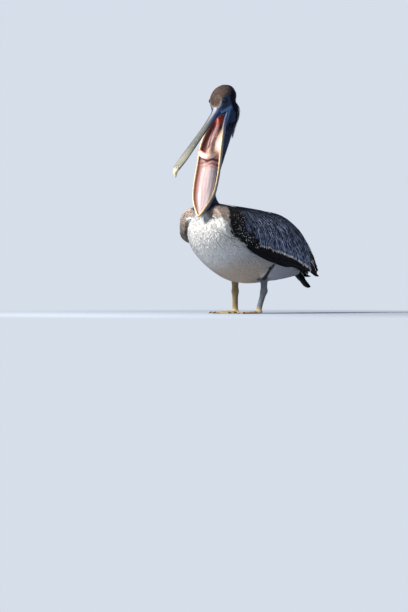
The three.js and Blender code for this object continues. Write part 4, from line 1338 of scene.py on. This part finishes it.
def vaneTemplate(stops, widths, across, heights):
    # One vane, closed: the same cross-section at each stop along it, scaled by the width there.
    y, w = (np.repeat(np.array(f, float), len(across)) for f in (stops, widths))
    x = np.tile(across, len(stops)) * w
    z = np.tile(heights, len(stops)) * np.minimum(1, w * 1.6)
    rows, cols = len(stops), len(across)
    quads = tubeFaces(rows, cols)[0]
    sides = np.concatenate([quads[:, [0, 1, 2]], quads[:, [0, 2, 3]]])
    fan = np.array([[0, k, k + 1] for k in range(1, cols - 1)])
    faces = np.concatenate([sides, fan[:, ::-1], fan + (rows - 1) * cols])
    points = np.stack([x, y, z], -1)
    if volumeOf(points - points.mean(0), [faces]) < 0:
        faces = faces[:, ::-1]
    return {"x": x, "y": y, "z": z, "faces": faces, "u": np.tile(across, len(stops)) / 2 + 0.5}


plainSection = [-1, 0, 1], [0, 1, 0]  # places across a vane and the heights there
archedSection = [-1, -0.5, 0, 0.5, 1, 0], [0.1, 0.55, 1, 0.55, 0.1, -0.35]
smallVane = vaneTemplate([0, 0.35, 0.74, 1], [0.35, 1, 0.8, 0.06], *plainSection)
softVane = vaneTemplate([0, 0.3, 0.6, 0.85, 1], [0.35, 0.95, 1, 0.72, 0.08], *plainSection)
longVane = vaneTemplate(
    [0, 0.08, 0.22, 0.4, 0.58, 0.74, 0.86, 0.94, 0.985, 1],
    [0.12, 0.5, 0.8, 0.95, 1, 0.92, 0.74, 0.5, 0.25, 0.05], *archedSection,
)
rowVane = vaneTemplate(
    [0, 0.2, 0.5, 0.78, 0.93, 1], [0.3, 0.85, 1, 0.84, 0.5, 0.06], [-1, 0, 1, 0], [0.1, 1, 0.1, -0.3],
)
bluntVane = vaneTemplate(
    [0, 0.1, 0.3, 0.5, 0.7, 0.85, 0.94, 0.98, 1], [0.15, 0.6, 0.85, 0.95, 1, 1, 0.9, 0.6, 0.15],
    *archedSection,
)
patchSize = 0.003  # share of the unwrap that one feather's patch takes


def plumes(name, points, template, spots, marks, slot, finish, *nodes):
    # Feathers of one kind as a piece. points is feathers by template points; spots are the places
    # of their roots on the unwrap of the skin, where each has a small patch of its own; marks are
    # the values that every point of a feather shares.
    count, size = points.shape[:2]
    marks = marks | {"tone": rng.uniform(-1, 1, count)}
    faces = (template["faces"][None] + size * np.arange(count)[:, None, None]).reshape(-1, 3)
    own = np.stack([template["u"], template["y"]], -1)[None]
    patch = spots[:, None] + patchSize * (own - 0.5)
    uv = {"OFBake": patch.reshape(-1, 2), "vane": np.broadcast_to(own, patch.shape).reshape(-1, 2)}
    values = {key: np.repeat(value, size, axis=0) for key, value in marks.items()}
    print(name + ":", len(faces), "triangles")
    piece = makePiece(name, points.reshape(-1, 3), [faces], uv, values)
    return finished(piece, vaneFinishes[finish], slot, *nodes)


def tangent(field, normals):
    return unit(field - (field * normals).sum(-1, keepdims=True) * normals)


def spread(cell, weight):
    # Roots over the part of the skin that weight picks: random points on its triangles by area,
    # then one for each cell of a cubic grid.
    corners = skinPoints[skinFaces]
    edges = corners[:, 1:] - corners[:, :1]
    area = np.linalg.norm(np.cross(edges[:, 0], edges[:, 1]), axis=1) / 2
    area = area * (weight[skinFaces].mean(1) > 0.5)
    count = int(area.sum() / cell**2 * 7)
    picked = rng.choice(len(area), count, p=area / area.sum())
    first, second = rng.random((2, count))
    over = first + second > 1
    first, second = np.where(over, 1 - first, first), np.where(over, 1 - second, second)
    span = edges[picked]
    points = corners[picked, 0] + first[:, None] * span[:, 0] + second[:, None] * span[:, 1]
    _, kept = np.unique(np.floor(points / cell).astype(int), axis=0, return_index=True)
    return points[np.sort(kept)]


def lieOf(points, normals):
    # Way the feathers lie: back over the crown and down the nape, down the neck, and back and
    # down along the trunk.
    headAlong = measured(headAxes, points)[0]
    isHead = smooth(points[:, 2] + 0.25 * headAlong, 690, 724)[:, None]
    isNeck = smooth(points[:, 2], 372, 410)[:, None]
    overHead = np.cross(normals, headAxes["side"]) - [0, 0, 0.35]
    down = np.array([0, 0, -1.0])
    x, z = points[:, 0], points[:, 2]
    shoulder = smooth(np.abs(x), 45, 85) * smooth(z, 285, 325) * np.sign(x)
    along = -trunkAxes["along"] + 0.35 * down + 0.9 * shoulder[:, None] * np.array([1.0, 0, 0])
    body = mixed(along, down, isNeck)
    thigh = np.maximum(smooth(points[:, 2], 150, 118) * (points[:, 1] < 80), thighCleft(points, 22))
    body = mixed(body, np.array([0, -0.5, -0.87]), thigh[:, None])
    return tangent(mixed(body, overHead, isHead), normals)


def unwrapped(points, axes):
    # Unwrap of the skin round an axis: the angle round it and the place along it.
    along, side, up = measured(axes, points)
    turn = np.arctan2(side, up) / (2 * np.pi) + 0.5
    share = (along - along.min()) / (np.ptp(along) + 1e-6)
    return 0.02 + 0.96 * np.stack([turn, share], -1)


neckAxes = {"origin": np.array([0, -150.0, 300]), "along": np.array([0, 0, 1.0]),
            "side": np.array([1.0, 0, 0]), "up": np.array([0, -1.0, 0])}


def coat(name, weight, kind, swell=None):
    # Vanes drawn flat at their roots, then laid on the skin: each point goes to the nearest place
    # on the skin and out from it by a lift that grows from the root to the tip.
    look = coatLook[kind]
    template = look.get("vane", smallVane)
    roots = spread(look["cell"], weight)
    _, normals = onSkin(roots)
    run = lieOf(roots, normals)
    yaw = rng.normal(0, look["yaw"], len(roots))[:, None]
    across = np.cross(normals, run)
    run, across = run * np.cos(yaw) + across * np.sin(yaw), across * np.cos(yaw) - run * np.sin(yaw)
    size = 1 + 0.16 * rng.normal(size=len(roots))
    grown = swell(roots) if swell else np.ones(len(roots))
    long = (look["long"] * size * grown)[:, None, None]
    wide = (look["wide"] * size * np.sqrt(grown))[:, None, None]
    x, y, z = (template[key][None, :, None] for key in "xyz")
    flat = roots[:, None] + x * wide * across[:, None] + y * long * run[:, None]
    low, way = onSkin(flat.reshape(-1, 3))
    low, way = low.reshape(flat.shape), way.reshape(flat.shape)
    tips = (look["lift"] * (0.8 + 0.4 * rng.random(len(roots))) * grown)[:, None, None]
    lift = -0.6 + (tips + 0.6) * y**0.8 + z * look["thick"] + 0.07 * x * wide
    points = low + way * lift
    reach = np.linalg.norm(points - roots[:, None], axis=-1).max(1)
    level = (way * normals[:, None]).sum(-1).min(1)  # how little a feather folds over an edge
    flatEnough = (level > look.get("bend", 0.35)) & (reach < 1.3 * long[:, 0, 0] + 3)
    points, roots = points[flatEnough], roots[flatEnough]
    spots = unwrapped(roots, look["axes"])
    return plumes(name, points, template, spots, markings(roots), look["slot"], look["finish"])


# The folded wing's rows and the tail

def wingArc(sign, along):  # length of the wing's face from the shoulder line to the lower edge
    stops = np.linspace(wing["along"][0], wing["along"][-1], 62)
    grid = wingPoint(sign, stops[:, None], np.linspace(0, 1, 40), 0)
    return np.interp(along, stops, np.linalg.norm(np.diff(grid, axis=1), axis=-1).sum(1))


def wingDepth(along):  # how deep the wing's skin lies under its feather tips
    return np.minimum(skinLook["plumageDepth"], wingWall(along) * 0.3)


def bandHeight(along):  # how far above the lower edge the pale line of feather tips runs
    return 15 * smooth(along, 215, 60) - 6 * hill(along, 48, 45) - 7 * smooth(along, -100, -260)


def wingRow(sign, row, template):
    # Feathers in a row. Each tip lies a given height above the wing's lower edge; the shaft runs
    # forward and up from it at the row's slope. On the face's own map, places go along it and
    # down it by the arc's length.
    count = row["count"]
    t = (np.arange(count) + 0.5) / count
    slope = np.radians(mixed(*row["slopeDeg"], t) + rng.normal(0, row.get("stray", 1.5), count))[:, None]
    long = (mixed(*row["long"], t) * (1 + 0.05 * rng.normal(size=count)))[:, None]
    wide = mixed(*row["wide"], t)[:, None]
    tipAlong = (mixed(*row["tips"], t) + rng.normal(0, 1.5, count))[:, None]
    if "upAt" in row:
        tipUp = np.interp(tipAlong, row["upAt"], row["up"])
    else:
        tipUp = bandHeight(tipAlong) + row["above"]
    tipUp = tipUp + rng.normal(0, row.get("ragged", 2.2), count)[:, None]
    room = (wingArc(sign, tipAlong) - tipUp - 4) / long
    slope = np.minimum(slope, np.arcsin(np.clip(room, 0.02, 1)))
    x, y, z = (template[key][None] for key in "xyz")
    back = (1 - y) * long
    along = tipAlong + back * np.cos(slope) + x * wide * np.sin(slope)
    arc = np.maximum(wingArc(sign, along), 30)
    tipUp = np.minimum(tipUp, wingArc(sign, tipAlong) - 14)
    heightUp = tipUp + back * np.sin(slope) - x * wide * np.cos(slope)
    v = 1 - heightUp / arc
    low, high = row["layer"]
    share = mixed(low, high, y**0.7) + 0.07 * x
    inset = wingDepth(along) * (1 - share)
    place = np.minimum(along, wing["along"][-1] - 5)
    points = wingPoint(sign, place, v, np.maximum(inset, 0.0))
    outward = unit(points - placed(trunkAxes, place, 0, 20))
    points = points + outward * (z * row.get("thick", 0.5))[..., None]
    spot = 0.05 + 0.9 * np.stack([(along[:, 0] + 340) / 640, np.clip(v[:, 0], 0, 1)], -1)
    return points, spot * [0.5, 1] + [0.5 * (sign > 0), 0]


flightRows = [
    dict(count=13, tips=(110, -334), upAt=[-334, -300, -200, -60, 0, 60, 110],
         up=[8, 8, 2, -5, 2, 9, 7], slopeDeg=(1, 1), long=(82, 225), wide=(8, 8), layer=(0.02, 0.25)),
    dict(count=14, tips=(150, -318), upAt=[-334, -300, -200, 100, 150], up=[10, 14, 12, 4, 2],
         slopeDeg=(3, 4), long=(46, 205), wide=(7, 9), layer=(0.06, 0.36)),
    dict(count=14, tips=(170, -296), upAt=[-334, -296, -200, 100, 170], up=[14, 22, 24, 16, 6],
         slopeDeg=(6, 8), long=(34, 190), wide=(6, 9), layer=(0.12, 0.44)),
]
paleRows = [  # the lowest row, whose tips make one pale line
    dict(count=38, tips=(60, -270), above=0, slopeDeg=(54, 38), long=(62, 110), wide=(6.6, 7.4),
         layer=(0.25, 0.64), stray=2.5, ragged=1.0),
]
silverRows = [
    dict(count=44 - 2 * k, tips=(150, -250 + 8 * k), above=17 + 15 * k, slopeDeg=(60 - k, 44),
         long=(44, 68), wide=(4.2, 5.2), layer=(0.34 + 0.06 * k, 0.68 + 0.05 * k), stray=5, ragged=4.0)
    for k in range(5)
] + [
    dict(count=14, tips=(150, 64), above=1, slopeDeg=(60, 54), long=(44, 60), wide=(4.6, 5.4),
         layer=(0.3, 0.66), stray=5, ragged=3.0),
]
shoulderRows = [
    dict(count=38 - 3 * k, tips=(150, -214 + 6 * k), above=92 + 17 * k,
         slopeDeg=(54 - 5 * k, 40 - 7 * k), long=(44 + 5 * k, 66 + 8 * k),
         wide=(4.6 + 0.6 * k, 6 + 0.9 * k), layer=(0.58 + 0.03 * k, 0.92 + 0.02 * k), stray=4,
         ragged=4.0)
    for k in range(5)
]
wristRows = [  # black with pale tips, over the forearm
    dict(count=15, tips=(min(196 + 6 * k, 212 - k), 138), upAt=[130, 270], up=[4 + 11 * k, 4 + 11 * k],
         slopeDeg=(30, 40), long=(22, 30), wide=(3.6, 4.8), layer=(0.34 + 0.04 * k, 0.74 + 0.02 * k),
         thick=0.4, stray=8, ragged=3.0)
    for k in range(11)
] + [
    dict(count=16, tips=(140, 30), upAt=[0, 60, 140], up=[10, 6 + 6 * k, 6 + 10 * k], slopeDeg=(34, 24),
         long=(24, 30), wide=(3.6, 4.4), layer=(0.4 + 0.05 * k, 0.7 + 0.04 * k), thick=0.4, stray=9,
         ragged=4.0)
    for k in range(3)
]
edgeRows = [  # thin pale edge of the forearm: along its lower border and, on the near wing, up its front
    dict(count=7, tips=(196, 150), upAt=[140, 270], up=[1, 3], slopeDeg=(5, 4), long=(20, 24),
         wide=(1.3, 1.2), layer=(0.7, 0.95), thick=0.4, stray=2, ragged=0.6),
    dict(count=9, tips=(192, 230), upAt=[192, 230], up=[2, 36], slopeDeg=(42, 46), long=(16, 16),
         wide=(1.2, 1.2), layer=(0.8, 1.0), thick=0.4, stray=3, ragged=0.8, near=True),
]


def makeWing(name, sign):
    for kind, rows, template, finish, slot in [
        ("flight", flightRows, longVane, "flight feathers", "flight_feathers"),
        ("pale", paleRows, rowVane, "pale-tipped coverts", "wing_coverts"),
        ("silver", silverRows, rowVane, "silver coverts", "wing_coverts"),
        ("shoulder", shoulderRows, rowVane, "silver coverts", "wing_coverts"),
        ("wrist", wristRows, rowVane, "mantle feathers", "wing_coverts"),
        ("edge", edgeRows, rowVane, "wing edge", "wing_coverts"),
    ]:
        laid = [wingRow(sign, row, template) for row in rows if sign > 0 or not row.get("near")]
        points = np.concatenate([part for part, _ in laid])
        spots = np.concatenate([spot for _, spot in laid])
        nodes = [name + "_flight"] if kind == "flight" else []
        place, share = wingPlace(points[:, points.shape[1] // 2])
        zero = 0 * place
        brown = zero if sign > 0 else smooth(place, 150, 200)
        marks = {
            "plumageA": np.stack([zero, zero, zero + 1], -1),
            "bare": np.stack([zero, zero, brown], -1),
            "depth": np.maximum(smooth(share, 0.62, 0.12), smooth(place, 40, 150)),
        }
        plumes(name + "_" + kind + "_vanes", points, template, spots, marks, slot, finish, *nodes)


tailLook = {"count": 18, "wide": 6.6, "thick": 0.6, "spread": 15.4}


def tailLayer(count, reach, rise, drop):
    # Feathers fanned a little across the tail, the middle ones uppermost: places along the tail's
    # run, across it and above it.
    root, tip, run, up = tailAxes()
    length = np.linalg.norm(tip - root)
    side = np.linspace(-1, 1, count)[:, None]
    x, y, z = (bluntVane[key][None] for key in "xyz")
    start = -0.12 * length
    flat = start + y * (length * reach * (1.0 - 0.03 * side**2) - start)
    middle = side * tailLook["spread"] + x * tailLook["wide"]
    lift = mixed(rise, drop, y) + 1.8 * (1 - np.abs(side)) * (1 if rise > 0 else -0.7)
    lift = lift + 0.5 * x * np.sign(side + 0.01) + z * tailLook["thick"]
    points = root + flat[..., None] * run + middle[..., None] * np.array([1.0, 0, 0])
    return points + lift[..., None] * up


def makeTail():
    for name, layers, finish, slot, nodes in [
        ("tail_vanes", [(tailLook["count"], 1.0, 1.0, 0.4), (14, 0.7, 8.0, 2.2)], "flight feathers",
         "flight_feathers", ["tail"]),
        ("tail_under_vanes", [(14, 0.62, -8.5, -2.0), (12, 0.45, -11.0, -5.0)], "vent feathers",
         "breast_feathers", []),
    ]:
        points = np.concatenate([tailLayer(*layer) for layer in layers])
        share = np.linspace(0.05, 0.95, len(points))
        spots = np.stack([share, 0.5 + 0 * share], -1)
        plumes(name, points, bluntVane, spots, {}, slot, finish, *nodes)


def feather(colours, amounts, spread, rough, **more):
    # Colours of the edge, tip and shaft and how much each counts, the spread of the shade and the
    # roughness. Without a base, a feather takes the bird's own markings.
    keys = ("Edge", "Tip", "Shaft")
    made = dict(zip(keys, colours.split())) | {"Spread": spread, "rough": rough}
    made |= {key + " Amount": value for key, value in zip(keys, amounts)}
    return made | {key.replace("_", " "): value for key, value in more.items()}


featherLook = {
    "flight feathers": feather(
        "14141b 22212a 040405", (0.5, 0.3, 0.8), 0.3, 0.6, Base="07080d",
    ),
    "silver coverts": feather(
        "080b17 8e96a8 10131f", (1.0, 0.35, 0.5), 0.6, 0.6,
        Base="9fadcc", Deep="38445f", Tip_Choice=0.8, Gap_Amount=0.7,
    ),
    "pale-tipped coverts": feather(
        "080b17 e2dcd4 10131f", (1.0, 1.0, 0.5), 0.4, 0.6,
        Base="8f9cbb", Deep="38445f", Tip_Start=0.9, Gap_Amount=0.4,
    ),
    "mantle feathers": feather(
        "07070c d8d3cc 0c0b0f", (0.5, 0.85, 0.4), 0.25, 0.7, Tip_Start=0.88, Tip_Choice=1.0,
    ),
    "wing edge": feather(
        "d8d4d0 e2dfdb 8c857c", (0.4, 0.4, 0.3), 0.1, 0.8, Base="b9b1ac",
    ),
    "wrist down": feather(
        "c9b5a8 d6c6ba 6b5a50", (0.25, 0.4, 0.1), 0.2, 0.85, Tip_Choice=0.8,
    ),
    "body feathers": feather(
        "e4e2de e6e4e0 8c857c", (0.06, 0.14, 0.06), 0.06, 0.85, Tip_Choice=0.6,
    ),
    "neck down": feather(
        "343a50 555c72 0c0e18", (0.15, 0.22, 0.1), 0.2, 0.85, Tip_Choice=0.7,
    ),
    "nape wisps": feather(
        "666878 858794 34353f", (0.3, 0.5, 0.1), 0.3, 0.85, Base="484a5c",
    ),
    "crown down": feather(
        "7d6c63 a89a90 3a302a", (0.2, 0.35, 0.1), 0.25, 0.8, Tip_Choice=0.8,
    ),
    "vent feathers": feather(
        "b5b4af c4c2bd 6d6c69", (0.4, 0.4, 0.2), 0.1, 0.8, Base="8e8f8c",
    ),
}
vaneFinishes = {name: vaneFinish(name, look) for name, look in featherLook.items()}

for sideName, sign in sides.items():
    makeWing("wing_" + sideName, sign)
makeTail()
weights = markings(skinPoints)
crown, nape, mantle = weights["plumageA"].T
mantle = mantle * (nape < 0.5)
breast, belly, face = weights["plumageB"].T
place, share = wingPlace(skinPoints)
trunkAlong, _, trunkUp = measured(trunkAxes, skinPoints)
edge = read(wing, "edge", place) + edgeLift(place)
covered = smooth(trunkUp, edge + 1, edge + 6) * smooth(trunkAlong, 222, 200)
covered = covered * (1 - pastFront(place, share) * smooth(share, 0.70, 0.80) * (skinPoints[:, 0] > 0))
uncovered = (1 - covered) * (1 - legNear(skinPoints) * smooth(skinPoints[:, 2], 158, 150))


def thighSwell(points):  # shorter feathers where the body meets the legs
    return 1 - 0.55 * legNear(points) * smooth(points[:, 2], 200, 172)


def browSwell(points):  # shorter feathers over the bill's base
    along = measured(headAxes, points)[0]
    return 1 - 0.5 * smooth(along, 30, 54)


def napeSwell(points):  # longer, looser feathers down the back of the head
    along = measured(headAxes, points)[0]
    return 1 + 1.1 * smooth(along, -34, -56) * smooth(points[:, 2], 640, 680)


coatLook = {
    "breast": {
        "cell": 3.8, "long": 23, "wide": 3.3, "lift": 1.9, "thick": 0.2, "yaw": 0.13, "bend": 0.6,
        "slot": "breast_feathers", "finish": "body feathers", "axes": trunkAxes,
    },
    "neck": {
        "cell": 3.3, "long": 15, "wide": 1.9, "lift": 2.0, "thick": 0.2, "yaw": 0.14,
        "slot": "neck_feathers", "finish": "neck down", "axes": neckAxes,
    },
    "wisps": {
        "cell": 4.2, "long": 26, "wide": 0.7, "lift": 9, "thick": 0.4, "yaw": 0.25,
        "slot": "neck_feathers", "finish": "nape wisps", "axes": neckAxes, "vane": softVane,
    },
    "crown": {
        "cell": 1.9, "long": 8.5, "wide": 0.95, "lift": 1.3, "thick": 0.2, "yaw": 0.16,
        "slot": "crown_feathers", "finish": "crown down", "axes": headAxes,
    },
    "patch": {
        "cell": 3.4, "long": 14, "wide": 1.9, "lift": 2.6, "thick": 0.25, "yaw": 0.16,
        "slot": "wing_coverts", "finish": "wrist down", "axes": trunkAxes,
    },
    "mantle": {
        "cell": 7.0, "long": 28, "wide": 4.8, "lift": 3.4, "thick": 0.4, "yaw": 0.12,
        "slot": "wing_coverts", "finish": "mantle feathers", "axes": trunkAxes, "vane": softVane,
    },
}
upper = smooth(trunkAlong + 0.4 * trunkUp, 60, 61)
under = (breast + belly) * uncovered
coat("breast_coat", under * upper, "breast")
coat("belly_coat", under * (1 - upper), "breast", thighSwell)
jawAlong, jawSide, jawUp = measured(jawAxes, skinPoints)
within = read(jaw, "half", jawAlong) - np.abs(jawSide)
nape = nape * (1 - smooth(within, 1, 5) * smooth(jawUp, -33, -28) * smooth(jawAlong, 200, 180))
low = smooth(skinPoints[:, 2], 561, 559)
coat("neck_coat", nape * low, "neck")
coat("nape_coat", nape * (1 - low), "neck", napeSwell)
behind = skinPoints[:, 1] - np.interp(skinPoints[:, 2], neck["up"], -np.array(neck["forward"], float))
loose = (nape > 0.5) * smooth(behind, 14, 24) * hill(skinPoints[:, 2], 716, 46)
coat("nape_wisps", loose * 2, "wisps")
coat("crown_coat", crown, "crown", browSwell)
# Parts of the wing that its rows leave bare: the wrist, and the arm's top in front.
offRows = np.maximum(smooth(place, 218, 224), smooth(place, 166, 176) * smooth(share, 0.44, 0.34))
offRows = offRows + smooth(trunkAlong, 214, 222) * (trunkUp > -40)
patch = mantle * offRows
coat("wrist_coat", patch, "patch")
spine = mantle * smooth(np.abs(skinPoints[:, 0]), 42, 34) * (patch < 0.5)
coat("mantle_coat", spine, "mantle")


# Floor, light and camera

sceneLook = {
    "backdrop": "d6deea", "floor": "a3abb8", "radius": 40.0,
    "key": 385.0, "keySize": 0.9, "keyAt": [-2.56, 1.92, 2.85],
    "world": 0.34, "lens": 225.6, "distance": 14.0, "azimuthDeg": 55.0, "elevationDeg": 0.6,
    "target": [-0.0954, -0.0985, 0.0274], "lamp": (1.0, 0.965, 0.91), "sky": "d3e0f6",
    "aimUp": 0.45, "fade": (0.55, 1.5),  # metres from the object
}
turn = np.radians(sceneLook["azimuthDeg"])
toRight = np.array([np.cos(turn), np.sin(turn), 0.0])
toCamera = np.array([np.sin(turn), -np.cos(turn), 0.0])


def seenDirectly(tree):  # 1 for what the camera sees, straight or in gloss or through glass
    path = node(tree, "LightPath").outputs
    direct = number(tree, "MAXIMUM", path["Is Camera Ray"], path["Is Glossy Ray"])
    return number(tree, "MAXIMUM", direct, path["Is Transmission Ray"])


def floorColour(tree):
    grain = clouds(tree, 30.0, 3.0)
    return layered(tree, sceneLook["floor"], ("9ba3b0", grain, 0.3, 0.7, 0, 0.15)), None, None


def makeFloor():
    # A wide disc that fades into the backdrop's colour away from the object.
    made = newFinish("floor", floorColour, Roughness=0.9, Specular_IOR_Level=0.1)
    tree = made.node_tree
    shader = tree.nodes["Principled BSDF"]
    place = node(tree, "TexCoord").outputs["Object"]
    away = node(tree, "VectorMath", {0: place}, operation="LENGTH").outputs["Value"]
    glow = node(tree, "Emission", {"Color": sceneLook["backdrop"]}).outputs[0]
    share = times(tree, ranged(tree, away, *sceneLook["fade"]), seenDirectly(tree))
    mix = node(tree, "MixShader", {0: share, 1: shader.outputs[0], 2: glow})
    tree.links.new(mix.outputs[0], tree.nodes["Material Output"].inputs[0])
    rows, cols = 24, 96
    a = turns(cols)
    radii = sceneLook["radius"] * np.linspace(0.02, 1, rows) ** 2
    ring = np.stack([np.cos(a), np.sin(a), 0 * a], -1)
    grid = radii[:, None, None] * ring / mm
    faces = tubeFaces(rows, cols)
    points = np.concatenate([grid.reshape(-1, 3), np.zeros((2, 3))])
    fan = faces[1][:cols]
    piece = makePiece("floor", points, [faces[0][:, ::-1], fan[:, ::-1]])
    piece.data.materials.append(made)


def makeLight():
    lamp = bpy.data.lights.new("key", "AREA")
    lamp.energy = sceneLook["key"]
    lamp.size = sceneLook["keySize"]
    lamp.color = sceneLook["lamp"]
    holder = linked("key", lamp)
    right, front, high = sceneLook["keyAt"]
    place = toRight * right + toCamera * front + np.array([0, 0, high])
    holder.location = place
    aim = mathutils.Vector((np.array([0, 0, sceneLook["aimUp"]]) - place).tolist())
    holder.rotation_euler = aim.to_track_quat("-Z", "Y").to_euler()
    world = bpy.data.worlds.new("surroundings")
    bpy.context.scene.world = world
    world.use_nodes = True
    tree = world.node_tree
    plain = tree.nodes["Background"]
    plain.inputs["Color"].default_value = paint(sceneLook["sky"])
    plain.inputs["Strength"].default_value = sceneLook["world"]
    shown = node(tree, "Background", {"Color": sceneLook["backdrop"], "Strength": 1.0})
    mix = node(tree, "MixShader", {0: seenDirectly(tree), 1: plain.outputs[0], 2: shown.outputs[0]})
    tree.links.new(mix.outputs[0], tree.nodes["World Output"].inputs[0])


def makeCamera():
    view = bpy.data.cameras.new("camera")
    view.lens = sceneLook["lens"]
    view.sensor_width = 36
    view.clip_end = 200
    holder = linked("camera", view)
    tilt = np.radians(sceneLook["elevationDeg"])
    way = toCamera * np.cos(tilt) + np.array([0, 0, np.sin(tilt)])
    holder.location = np.array(sceneLook["target"]) + way * sceneLook["distance"]
    holder.rotation_euler = mathutils.Vector((-way).tolist()).to_track_quat("-Z", "Y").to_euler()
    bpy.context.scene.camera = holder


makeFloor()
makeLight()
makeCamera()
bpy.context.scene.view_settings.view_transform = "Standard"
print("scene made")
